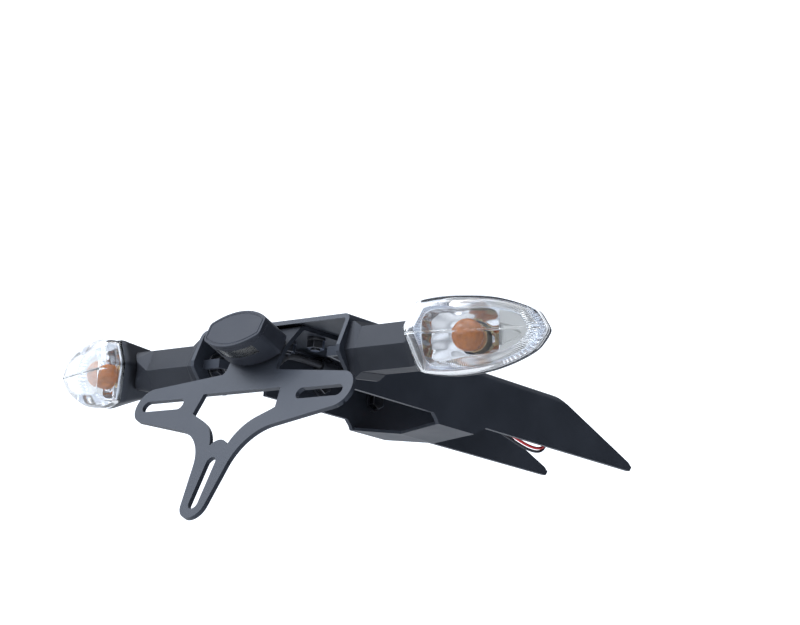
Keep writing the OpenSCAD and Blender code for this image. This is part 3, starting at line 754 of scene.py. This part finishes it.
@dataclass(frozen=True)
class Ridge:
    """Roof along the middle of the dome and the bead on it, above the height base.

    The roof falls off by slope times the distance from the middle, more where the dome is higher.
    """

    base: float = 9.0
    run: float = 8.0
    slope: float = 0.1
    softness: float = 0.1
    bead: float = 0.35
    bead_width: float = 0.5

    def drop(self, off: Array, height: Array) -> Array:
        """How far the roof lies below the plain dome, off the middle by this much."""
        domed = height > self.base
        away = np.sqrt(off ** 2 + self.softness)
        return self.slope * domed * away * (height - self.base) / self.run

    def rise(self, off: Array, height: Array) -> Array:
        """Height of the bead, a bell curve across the middle."""
        return self.bead * (height > self.base) * np.exp(-(off / self.bead_width) ** 2)


@dataclass(frozen=True)
class Flutes:
    """Fine flutes on the rings between two shares of all rows, a cosine of the column's number."""

    depth: float = 0.32
    low: float = 0.28
    high: float = 0.62
    row_fade: float = 0.04
    from_x: float = 26.0
    x_fade: float = 10.0
    columns: int = 6

    def height(self, x: Array) -> Array:
        """Their height at grid points with this X, rows by columns."""
        rows, cols = x.shape
        t = np.linspace(0.0, 1.0, rows)[:, None]
        window = fade(t - self.low, self.row_fade) * fade(self.high - t, self.row_fade)
        wave = np.cos(np.arange(cols) * TURN / self.columns)
        return self.depth * window * fade(x - self.from_x, self.x_fade) * wave


@dataclass(frozen=True)
class DomeSide:
    """One side of the lens: its foot, a quarter superellipse inwards and a crowned top."""

    foot: tuple
    inset: float
    start: float
    rise: float
    degrees: float
    steps: int
    crown: float
    turn_in: float = 9.0
    top_steps: int = 14

    def rows(self) -> Array:
        """Inset, height and share of each ring, from the foot to the middle."""
        turn = np.linspace(0.0, math.radians(self.degrees), self.steps)
        share = np.linspace(1.0, 0.0, self.top_steps)[1:]
        over = to_row(self.inset + self.turn_in * (1 - np.cos(turn)),
                      self.start + self.rise * np.sin(turn), np.ones_like(turn))
        edge = over[-1]
        top = to_row(np.full_like(share, edge[0]), edge[1] + self.crown * (1 - share ** 2), share)
        return np.concatenate([self.foot, over, top])


@dataclass(frozen=True)
class ShellSide:
    """One side of the rear shell's wall: its lip, a straight taper and a flat back."""

    inset: float = 0.0
    lift: float = 0.0
    depth: float = 24.0
    taper: float = 7.4
    cone_from: float = -3.0
    cone_short: float = 4.8
    cone_steps: int = 10
    round_in: float = 2.2
    round_back: float = 1.7
    round_degrees: float = 80.0
    round_steps: int = 6
    back_steps: int = 8

    def rows(self) -> Array:
        """Inset, height and share of each ring, from the lip to the middle of the back."""
        slope = np.linspace(0.0, 1.0, self.cone_steps)
        turn = np.linspace(0.0, math.radians(self.round_degrees), self.round_steps)[1:]
        flat = np.linspace(1.0, 0.0, self.back_steps)[1:]
        run = self.depth - self.cone_short - self.lift
        cone = to_row(
            self.inset + self.taper * slope, self.cone_from - run * slope, np.ones_like(slope))
        end = cone[-1]
        over = to_row(end[0] + self.round_in * (1 - np.cos(turn)),
                      end[1] - self.round_back * np.sin(turn), np.ones_like(turn))
        back = to_row(np.full_like(flat, over[-1, 0]), np.full_like(flat, over[-1, 1]), flat)
        lip = [[self.inset + 0.25, -0.1, 1.0], [self.inset, -0.5, 1.0]]
        return np.concatenate([lip, cone, over, back])


@dataclass(frozen=True)
class Bowl:
    """Reflector: a lobed bowl round the bulb, a pale tray to the tip and a fluted band at the rim.

    The rings run from the bulb hole out over the bowl's floor and wall, then over the tray and
    the band. The bowl's edge is a superellipse with shallow scallops, its floor carries soft
    lobes (a cosine of X times one of Y), the tray has a pointed leaf sunk in it, and the band's
    flutes are a cosine of the column's number.
    """

    columns: int = 720
    centre: tuple[float, float] = (34.5, -0.5)
    half: tuple[float, float] = (23.5, 16.5)
    squareness: float = 5.0
    hole: float = 9.9
    thickness: float = 1.1
    # Floor and wall
    floor_rows: int = 30
    wall_from: float = 0.8
    wall_foot: float = 0.86
    floor_z: float = -12.5
    dish: float = 3.0
    wall_rise: float = 8.9
    wall_power: float = 1.5
    scallops: int = 16
    scallop: float = 0.022
    lobe: float = 0.55
    lobe_x: float = 22.0
    lobe_y: float = 11.0
    lobe_fade: float = 0.15
    # Tray and its leaf
    tray_rows: int = 29
    tray_z: float = -0.6
    leaf_depth: float = 2.4
    leaf_half: float = 6.4
    leaf_tip: float = 71.0
    leaf_length: float = 13.0
    leaf_power: float = 0.55
    leaf_edge: float = 0.8
    # Band
    rim_gap: float = 2.6
    rim_samples: int = 2001
    band: float = 6.5
    band_gap: float = 0.2
    band_rows: int = 8
    band_rise: float = 3.4
    band_power: float = 1.3
    flute: float = 0.75
    flute_columns: int = 6
    # Where the masks of tray and band begin, and over what length
    tray_mask: tuple[float, float] = (58.2, 0.8)
    band_mask: tuple[float, float] = (0.3, 0.6)

    def edge(self, angles: Array) -> Array:
        """Distance from the centre to the bowl's edge, a superellipse."""
        p = self.squareness
        return 1.0 / ((np.abs(np.cos(angles)) / self.half[0]) ** p
                      + (np.abs(np.sin(angles)) / self.half[1]) ** p) ** (1.0 / p)

    def rim(self, angles: Array, outline: Teardrop) -> Array:
        """Distance from the centre to the band's outer edge, a step inside the outline."""
        around = np.linspace(0.0, TURN, self.rim_samples)
        reach = outline.reach(around) - self.rim_gap
        x, y = polar(outline.middle, reach, around)
        x, y = x - self.centre[0], y - self.centre[1]
        return np.interp(angles, np.unwrap(np.arctan2(y, x)), np.hypot(x, y), period=TURN)

    def band_start(self, angles: Array, outline: Teardrop) -> Array:
        """Distance from the centre to the band's inner edge."""
        return np.maximum(self.edge(angles) + self.band_gap, self.rim(angles, outline) - self.band)

    def floor(self, angles: Array, bulb_x: float) -> Array:
        """The bowl's rings, from the bulb hole to its edge."""
        u = np.linspace(0.0, 1.0, self.floor_rows)[:, None]
        wall = fade(u - self.wall_from, 1.0 - self.wall_from)
        share = np.where(u < self.wall_from, u / self.wall_from * self.wall_foot,
                         self.wall_foot + wall * (1.0 - self.wall_foot))
        scallop = 1.0 + self.scallop * np.cos(self.scallops * angles) * wall * (1.0 - wall) * 4.0
        ring = (self.hole + (self.edge(angles)[None, :] - self.hole) * share) * scallop
        x, y = polar(self.centre, ring, angles)
        x = x + (1 - share) * (bulb_x - self.centre[0])
        dish = self.dish * fade(u, self.wall_from) ** 2
        depth = self.floor_z + dish + self.wall_rise * wall ** self.wall_power
        wave_y = np.cos((y - self.centre[1]) * TURN / self.lobe_y)
        wave_x = np.cos((x - bulb_x) * TURN / self.lobe_x)
        z = depth + self.lobe * wave_y * wave_x * fade(u, self.lobe_fade) * (1.0 - wall)
        return np.stack([x, y, z], -1)

    def tray(self, angles: Array, start: Array) -> Array:
        """The flat rings between the bowl's edge and the band, with the leaf sunk in them."""
        v = np.linspace(0.0, 1.0, self.tray_rows)[1:, None]
        x, y = polar(self.centre, self.edge(angles) * (1 - v) + start * v, angles)
        leaf = self.leaf_half * fade(self.leaf_tip - x, self.leaf_length) ** self.leaf_power
        root = self.leaf_tip - self.leaf_length
        sunk = fade(leaf - np.abs(y), self.leaf_edge) * fade(x - root, 1.0)
        return np.stack([x, y, self.tray_z - self.leaf_depth * sunk], -1)

    def fluted(self, angles: Array, start: Array, rim: Array) -> Array:
        """The band's rings, which rise to the rim."""
        b = np.linspace(0.0, 1.0, self.band_rows)[1:, None]
        x, y = polar(self.centre, start * (1 - b) + rim * b, angles)
        wave = self.flute * np.cos(np.arange(self.columns) * TURN / self.flute_columns)
        z = self.tray_z + self.band_rise * b ** self.band_power + wave * np.sin(math.pi * b)
        return np.stack([x, y, z], -1)

    def grid(self, bulb_x: float, outline: Teardrop) -> Array:
        """All rings of the front, of every second one of the back, and the first again.

        Args:
            bulb_x: the bulb's place along the lens.
            outline: the lens's outline.

        Returns:
            Points in the lens frame, rows by columns by three.
        """
        angles = round_angles(self.columns)
        start, rim = self.band_start(angles, outline), self.rim(angles, outline)
        front = np.concatenate([
            self.floor(angles, bulb_x), self.tray(angles, start), self.fluted(angles, start, rim)])
        rear = front[::-2] - np.array([0.0, 0.0, self.thickness])
        return np.concatenate([front, rear, front[:1]])

    def masks(self, x: Array, y: Array, outline: Teardrop) -> dict[str, Array]:
        """The masks of tray and band at points of the lens frame."""
        angles = round_angles(self.columns)
        start = self.band_start(angles, outline)
        dx, dy = x - self.centre[0], y - self.centre[1]
        inner = np.interp(np.arctan2(dy, dx) % TURN, angles, start, period=TURN)
        return {"tray": fade(x - self.tray_mask[0], self.tray_mask[1]),
                "band": fade(np.hypot(dx, dy) - inner + self.band_mask[0], self.band_mask[1])}


@dataclass(frozen=True)
class Bulb:
    """Sizes of the bulb, a lathe form round an axis across the lens."""

    x: float = 40.0
    radius: float = 9.2
    base_z: float = -17.0
    length: float = 28.7
    middle_z: float = 1.5
    half_length: float = 10.3
    neck_radius: float = 5.0
    neck_to: float = -7.0
    rows: int = 40
    columns: int = 48

    def grid(self) -> Array:
        """Rings of the bulb: an ellipse, no thinner than the neck below it, closed at both ends."""
        z = self.base_z + self.length * np.linspace(0.0, 1.0, self.rows)
        way = (z - self.middle_z) / self.half_length
        body = self.radius * np.sqrt(np.clip(1 - way ** 2, 0, 1))
        radius = np.where(z < self.neck_to, np.maximum(body, self.neck_radius), body)
        radius[[0, -1]] = 0.0
        x, y = polar((self.x, 0.0), radius[:, None], round_angles(self.columns))
        return np.stack([x, y, np.broadcast_to(z[:, None], x.shape)], -1)


@dataclass(frozen=True)
class Stance:
    """Where the lens frame stands: its corner, its sweep back and its lean, on the right side."""

    upright: float = 7.5
    axis_y: float = -120.0
    axis_z: float = -21.4
    corner_x: float = 122.8
    corner_y: float = 26.3
    raised: float = 0.7
    sweep: float = 20.0

    def turns(self) -> tuple[float, float, float, float]:
        """Cosine and sine of the sweep, then of the lean."""
        sweep, lean = math.radians(self.sweep), math.radians(self.upright)
        return math.cos(sweep), math.sin(sweep), math.cos(lean), math.sin(lean)


@dataclass
class Indicator:
    """One indicator: stalk, shell, lens, bowl, bulb, holder, stud, nut and washer."""

    side: Side
    stance: Stance = Stance()
    outline: Teardrop = Teardrop()
    ridge: Ridge = Ridge()
    flutes: Flutes = Flutes()
    outside: DomeSide = DomeSide(
        foot=((0.3, 0.0, 1.0), (0.0, 0.3, 1.0), (0.0, 3.0, 1.0)),
        inset=0.0, start=6.6, rise=10.0, degrees=84.0, steps=16, crown=0.4)
    inside: DomeSide = DomeSide(
        foot=((2.2, 0.0, 1.0), (2.0, 0.3, 1.0)),
        inset=2.0, start=5.2, rise=8.8, degrees=80.0, steps=22, crown=0.2)
    back: ShellSide = ShellSide()
    hollow: ShellSide = ShellSide(inset=2.0, lift=2.0)
    reflector: Bowl = Bowl()
    lamp: Bulb = Bulb()
    lens_columns: int = 840
    shell_columns: int = 300

    def to_bike(self, local: Array) -> Array:
        """Points of the lens frame, X along it, Y up and Z out, as points of the part's frame.

        Args:
            local: points in millimetres, any shape by three.

        Returns:
            The same points, turned by the sweep, then by the upright lean, then set in place.
        """
        at = self.stance
        x, y, z = local[..., 0], local[..., 1], local[..., 2]
        c, s, cu, su = at.turns()
        px = at.corner_x + c * x + s * z
        py = -at.corner_y + s * x - c * z
        pz = at.raised + y
        return np.stack(
            [self.side.value * px, at.axis_y + cu * py - su * pz, at.axis_z + su * py + cu * pz], -1)

    def to_lens(self, place: Array) -> tuple[Array, Array]:
        """X and Y in the lens frame of points in the part's frame, which undoes to_bike.

        Args:
            place: points in millimetres, rows by three.

        Returns:
            The two coordinates.
        """
        at = self.stance
        c, s, cu, su = at.turns()
        y, z = place[:, 1] - at.axis_y, place[:, 2] - at.axis_z
        py, pz = cu * y + su * z, cu * z - su * y
        px = self.side.value * place[:, 0] - at.corner_x
        return c * px + s * (py + at.corner_y), pz - at.raised

    def rings(self, rows: Array, angles: Array, flutes: Optional[Flutes] = None) -> Array:
        """Rings of the outline at given insets, heights and shares, under the roof.

        Args:
            rows: inset, height and share of each ring, where the share shrinks it to the middle.
            angles: directions of the columns.
            flutes: the flutes on the rings, or None for the bead along the middle.

        Returns:
            Points in the lens frame, rows by columns by three.
        """
        middle = self.outline.middle
        height = rows[:, 1:2]
        reach = (self.outline.reach(angles)[None, :] - rows[:, 0:1]) * rows[:, 2:3]
        x, y = polar(middle, reach, angles)
        off = y - middle[1]
        z = height - self.ridge.drop(off, height)
        z = z + (flutes.height(x) if flutes else self.ridge.rise(off, height))
        return np.stack([x, y, z], -1)

    def lens(self, palette: Palette) -> None:
        """Clear lens: outer dome and inner dome a wall apart, joined at the rim.

        The straight rim rises, a quarter superellipse turns it over, and a slight roof along the
        middle makes the crease, with a thin bead along it. The inner side carries the fine flutes.
        """
        angles = self.outline.even_angles(self.lens_columns)
        grid = np.concatenate([self.rings(self.outside.rows()[::-1], angles),
                               self.rings(self.inside.rows(), angles, self.flutes)])
        piece = surface(f"{self.side.word}_lens_dome", self.to_bike(grid), sharp=50.0)
        dress(piece, palette.lens, Slot.LENS, f"{self.side.word}_lens")

    def shell(self, palette: Palette) -> None:
        """Rear shell: a straight rim, then a straight taper to a flat back with a rounded edge."""
        angles = self.outline.even_angles(self.shell_columns)
        grid = np.concatenate([self.rings(self.back.rows()[::-1], angles),
                               self.rings(self.hollow.rows(), angles)])
        piece = surface(f"{self.side.word}_shell_body", self.to_bike(grid))
        dress(piece, palette.shell, Slot.LAMP, f"{self.side.word}_shell")

    def bowl(self, palette: Palette) -> None:
        """Reflector with its two masks as point attributes."""
        grid = self.reflector.grid(self.lamp.x, self.outline)
        piece = surface(f"{self.side.word}_reflector_bowl", self.to_bike(grid), sharp=35.0)
        place = np.zeros(len(piece.data.vertices) * 3)
        piece.data.vertices.foreach_get("co", place)
        x, y = self.to_lens(place.reshape(-1, 3) / MM)
        for name, value in self.reflector.masks(x, y, self.outline).items():
            mask = piece.data.attributes.new(name, "FLOAT", "POINT")
            mask.data.foreach_set("value", value.astype(np.float32))
        dress(piece, palette.bowl, Slot.REFLECTOR, f"{self.side.word}_reflector")

    def bulb(self, palette: Palette) -> None:
        """Amber bulb: a lathe form with a straight neck, a full body and a round top."""
        piece = surface(f"{self.side.word}_bulb_glass", self.to_bike(self.lamp.grid()))
        dress(piece, palette.amber, Slot.AMBER, f"{self.side.word}_bulb")

    def build(self, palette: Palette) -> None:
        """Builds and dresses the whole indicator."""
        word = self.side.word
        self.lens(palette)
        self.shell(palette)
        self.bowl(palette)
        self.bulb(palette)
        stalk = softened(f"{word}_stalk", f"{word}_stalk_rubber", width=1.4, segments=3, angle=20.0)
        dress(stalk, palette.rubber, Slot.RUBBER, f"{word}_stalk")
        soften_all(palette.brass, Slot.BRASS, (f"{word}_bulb_holder", f"{word}_bulb_cap", 0.3))
        soften_all(palette.zinc, Slot.ZINC,
                   (f"{word}_stud", f"{word}_hollow_stud", 0.4),
                   (f"{word}_stud_nut", f"{word}_thin_nut", 0.4),
                   (f"{word}_stud_washer", f"{word}_wide_washer", 0.2))


@dataclass
class Sheetwork:
    """The two folded and cut steel pieces, with powder coat over softly broken edges."""

    edge: float = 0.4

    def build(self, palette: Palette) -> None:
        """Builds and dresses the bracket and the hanger."""
        soften_all(palette.powder, Slot.STEEL, ("main_bracket", "channel_bracket", self.edge),
                   ("plate_hanger", "hanger_sheet", self.edge))


@dataclass
class PlateLamp:
    """Lamp: cover, housing, window, board, emitters, pad and screws."""

    edge: float = 0.35

    def build(self, palette: Palette) -> None:
        """Builds and dresses each lamp piece."""
        soften_all(palette.lamp, Slot.LAMP, ("lamp_cover", "lamp_face", self.edge),
                   ("lamp_housing", "lamp_body", self.edge))
        soften_all(palette.pane, Slot.LENS, ("lamp_window", "lamp_pane", 0.15))
        soften_all(palette.board, Slot.BOARD, ("lamp_board", "lamp_circuit", 0.1))
        soften_all(palette.led, Slot.LED, ("lamp_leds", "lamp_emitters", 0.2))
        soften_all(palette.rubber, Slot.RUBBER, ("lamp_pad", "lamp_gasket", 0.4))
        soften_all(palette.zinc, Slot.ZINC, ("lamp_screws", "lamp_bolts", 0.2))


@dataclass
class Hardware:
    """Hanger fasteners, cable clips with their screws and nuts, and the plug."""

    def build(self, palette: Palette) -> None:
        """Builds and dresses each fastener."""
        soften_all(palette.zinc, Slot.ZINC, ("hanger_screws", "hanger_bolts", 0.3),
                   ("hanger_washers", "hanger_flat_washers", 0.15),
                   ("hanger_nuts", "hanger_hex_nuts", 0.4), ("clip_screw", "clip_bolts", 0.35),
                   ("clip_nut", "clip_hex_nuts", 0.35))
        soften_all(palette.rubber, Slot.RUBBER, ("cable_clip", "cable_holders", 0.5))
        soften_all(palette.shell, Slot.LAMP, ("wire_plug", "wire_connector", 0.4))


@dataclass
class Wires:
    """The lamp's cable, held from the lamp through the clips, and its two cores on to the plug."""

    cable: float = 5.0
    core: float = 2.0
    route: tuple = (
        (0, -151.5, -24), (0, -145, -26.5), (0, -137, -29), (-7, -122, -24), (-20, -100, -13),
        (-30, -74, -9), (-31.7, -52, -9), (-31.7, -20, -9), (-31.7, 1, -9), (-31, 18, -9),
        (-22, 40, -11), (2, 62, -19), (20, 82, -33), (27, 96, -39), (29, 107, -38), (28, 113, -30),
        (23, 111, -18), (18, 105, -11), (16, 97, -9))
    steps: int = 12
    jacket_points: int = 9
    half_step: tuple = (1.008, -0.756, 1.008)
    sides: int = 20
    guide: tuple = (0.31, 0.05, 0.95)
    end_taper: float = 0.4
    pinch: float = 0.72
    pinch_points: int = 8

    def line(self) -> Array:
        """Smooth line through the route's points.

        Between points b and c, with neighbours a and d, the line is the cubic that leaves b along
        c - a and meets c along d - b.
        """
        p = np.array(self.route, float)
        a, b = np.concatenate([p[:1], p[:-2]]), p[:-1]
        c, d = p[1:], np.concatenate([p[2:], p[-1:]])
        t = (np.arange(self.steps) / self.steps)[:, None, None]
        curve = 0.5 * (2 * b + (c - a) * t + (2 * a - 5 * b + 4 * c - d) * t ** 2
                       + (3 * b - a - 3 * c + d) * t ** 3)
        return np.concatenate([curve.transpose(1, 0, 2).reshape(-1, 3), p[-1:]])

    def tube(self, name: str, path: Array, radius: Array) -> bpy.types.Object:
        """Round tube along a path: circles set square to the way it runs, each of its own radius."""
        way = np.gradient(path, axis=0)
        way /= np.linalg.norm(way, axis=1, keepdims=True)
        across = np.cross(self.guide, way)
        across /= np.linalg.norm(across, axis=1, keepdims=True)
        up = np.cross(way, across)
        a = round_angles(self.sides)
        ring = across[:, None] * np.cos(a)[None, :, None] + up[:, None] * np.sin(a)[None, :, None]
        return surface(name, path[:, None] + ring * radius[:, None, None], close=True)

    def build(self, palette: Palette) -> None:
        """Builds and dresses the cable and both cores."""
        path = self.line()
        end = self.jacket_points * self.steps
        jacket = path[:end + 1]
        radius = np.full(len(jacket), self.cable / 2)
        radius[-1] -= self.end_taper
        dress(self.tube("lamp_lead", jacket, radius), palette.jacket, Slot.RUBBER, "lamp_cable")
        cores = path[end - 1:]
        apart = self.pinch + (1.0 - self.pinch) * np.arange(len(cores)) / self.pinch_points
        spread = np.clip(apart, 0, 1)[:, None]
        radius = np.full(len(cores), self.core / 2)
        for name, node, sign, finish, slot in (
                ("red_lead", "red_wire", 1.0, palette.red, Slot.RED),
                ("black_lead", "black_wire", -1.0, palette.black, Slot.BLACK)):
            moved = cores + sign * spread * np.array(self.half_step)
            dress(self.tube(name, moved, radius), finish, slot, node)


@dataclass(frozen=True)
class SoftLight:
    """A soft rectangular light: place and size in metres, power in watts."""

    name: str
    at: tuple
    size: tuple
    power: float
    tint: Colour = (1.0, 1.0, 1.0)


@dataclass
class Studio:
    """Pale floor, soft lights and the camera at the photograph's angle, all in metres."""

    camera_at: tuple = (0.8883, -0.9786, -0.2790)
    forward: tuple = (-0.66078, 0.71371, 0.23235)
    right: tuple = (0.74498, 0.66138, 0.08707)
    lens_mm: float = 90.0
    sensor_mm: float = 36.0
    clip: tuple = (0.05, 200.0)
    floor_z: float = -0.62
    floor_rings_mm: tuple = (0.0, 500.0, 2000.0, 8000.0, 60000.0)
    floor_columns: int = 64
    floor_tones: tuple = ((0.88, 0.89, 0.9), (0.92, 0.925, 0.93))
    floor_rough: float = 0.7
    floor_speck: float = 8.0
    bright_side: Colour = (1.42, 1.5, 1.62)
    bright_way: tuple = (-0.8, -0.25, 0.55)
    bright_range: tuple = (-0.55, 0.3)
    dark_side: Colour = (0.05, 0.056, 0.07)
    lid: Colour = (0.05, 0.055, 0.07)
    lid_way: tuple = (-0.1, 0.25, 0.96)
    lid_range: tuple = (0.66, 0.8)
    aim: tuple = (0.0, -0.1, -0.04)
    lights: tuple = (
        SoftLight("key_soft", (-0.9, -1.5, 1.5), (1.4, 1.4), 34.0),
        SoftLight("top_soft", (0.3, -0.2, 1.8), (1.6, 1.0), 14.0),
        SoftLight("side_strip", (1.4, -1.3, 0.5), (0.3, 1.2), 2.0, (0.9, 0.95, 1.0)))

    def floor(self) -> None:
        """Wide flat floor as one round sheet of rings."""
        rings = np.array(self.floor_rings_mm)[:, None]
        x, y = polar((0.0, 0.0), rings, round_angles(self.floor_columns))
        piece = surface("studio_floor", np.stack([x, y, np.full(x.shape, self.floor_z / MM)], -1))
        material = bpy.data.materials.new("floor_paper")
        material.use_nodes = True
        w = Wiring(material.node_tree)
        shader = material.node_tree.nodes["Principled BSDF"]
        speck = w.noise(w.add("TexCoord").outputs["Object"], self.floor_speck)
        w.join(w.blend(speck, *self.floor_tones), shader.inputs["Base Color"])
        shader.inputs["Roughness"].default_value = self.floor_rough
        piece.data.materials.append(material)

    def sky(self) -> None:
        """Soft surround: bright from the left and the rear, dark from the right and straight above."""
        world = bpy.data.worlds.new("studio_surround")
        bpy.context.scene.world = world
        world.use_nodes = True
        w = Wiring(world.node_tree)
        back = world.node_tree.nodes["Background"]
        view = w.add("TexCoord").outputs["Generated"]
        share = w.step(self.toward(w, view, self.bright_way), *self.bright_range)
        lid = w.step(self.toward(w, view, self.lid_way), *self.lid_range)
        colour = w.blend(share, self.dark_side, self.bright_side)
        w.join(w.blend(lid, colour, self.lid), back.inputs[0])
        back.inputs[1].default_value = 1.0

    @staticmethod
    def toward(w: Wiring, view: Any, way: tuple) -> Any:
        """How far a direction points along a given one, as their dot product."""
        dot = w.add("VectorMath", operation="DOT_PRODUCT")
        w.join(view, dot.inputs[0])
        dot.inputs[1].default_value = way
        return dot.outputs["Value"]

    def shine(self, light: SoftLight) -> None:
        """Adds one light, turned to face the part."""
        data = bpy.data.lights.new(light.name, "AREA")
        data.shape, data.size, data.size_y = "RECTANGLE", light.size[0], light.size[1]
        data.energy, data.color = light.power, light.tint
        lamp = bpy.data.objects.new(light.name, data)
        lamp.location = light.at
        way = Vector(self.aim) - Vector(light.at)
        lamp.rotation_euler = way.to_track_quat("-Z", "Y").to_euler()
        bpy.context.scene.collection.objects.link(lamp)

    def camera(self) -> None:
        """The camera of the photograph: its place, its way of looking and its lens."""
        data = bpy.data.cameras.new("photo_camera")
        data.sensor_width, data.lens = self.sensor_mm, self.lens_mm
        data.clip_start, data.clip_end = self.clip
        camera = bpy.data.objects.new("photo_camera", data)
        f, r = Vector(self.forward).normalized(), Vector(self.right).normalized()
        up = r.cross(f).normalized()
        turn = Matrix((r, up, -f)).transposed().to_4x4()
        camera.matrix_world = Matrix.Translation(self.camera_at) @ turn
        bpy.context.scene.collection.objects.link(camera)
        bpy.context.scene.camera = camera
        bpy.context.scene.view_settings.view_transform = "Standard"

    def build(self) -> None:
        """Builds floor, surround, lights and camera."""
        self.floor()
        self.sky()
        for light in self.lights:
            self.shine(light)
        self.camera()


def main() -> None:
    """Builds every piece in order."""
    logging.basicConfig(level=logging.INFO, format="%(message)s")
    palette = Palette()
    Sheetwork().build(palette)
    PlateLamp().build(palette)
    for side in Side:
        Indicator(side).build(palette)
    Hardware().build(palette)
    Wires().build(palette)
    Studio().build()
    bpy.context.view_layer.update()


if __name__ == "__main__":
    main()
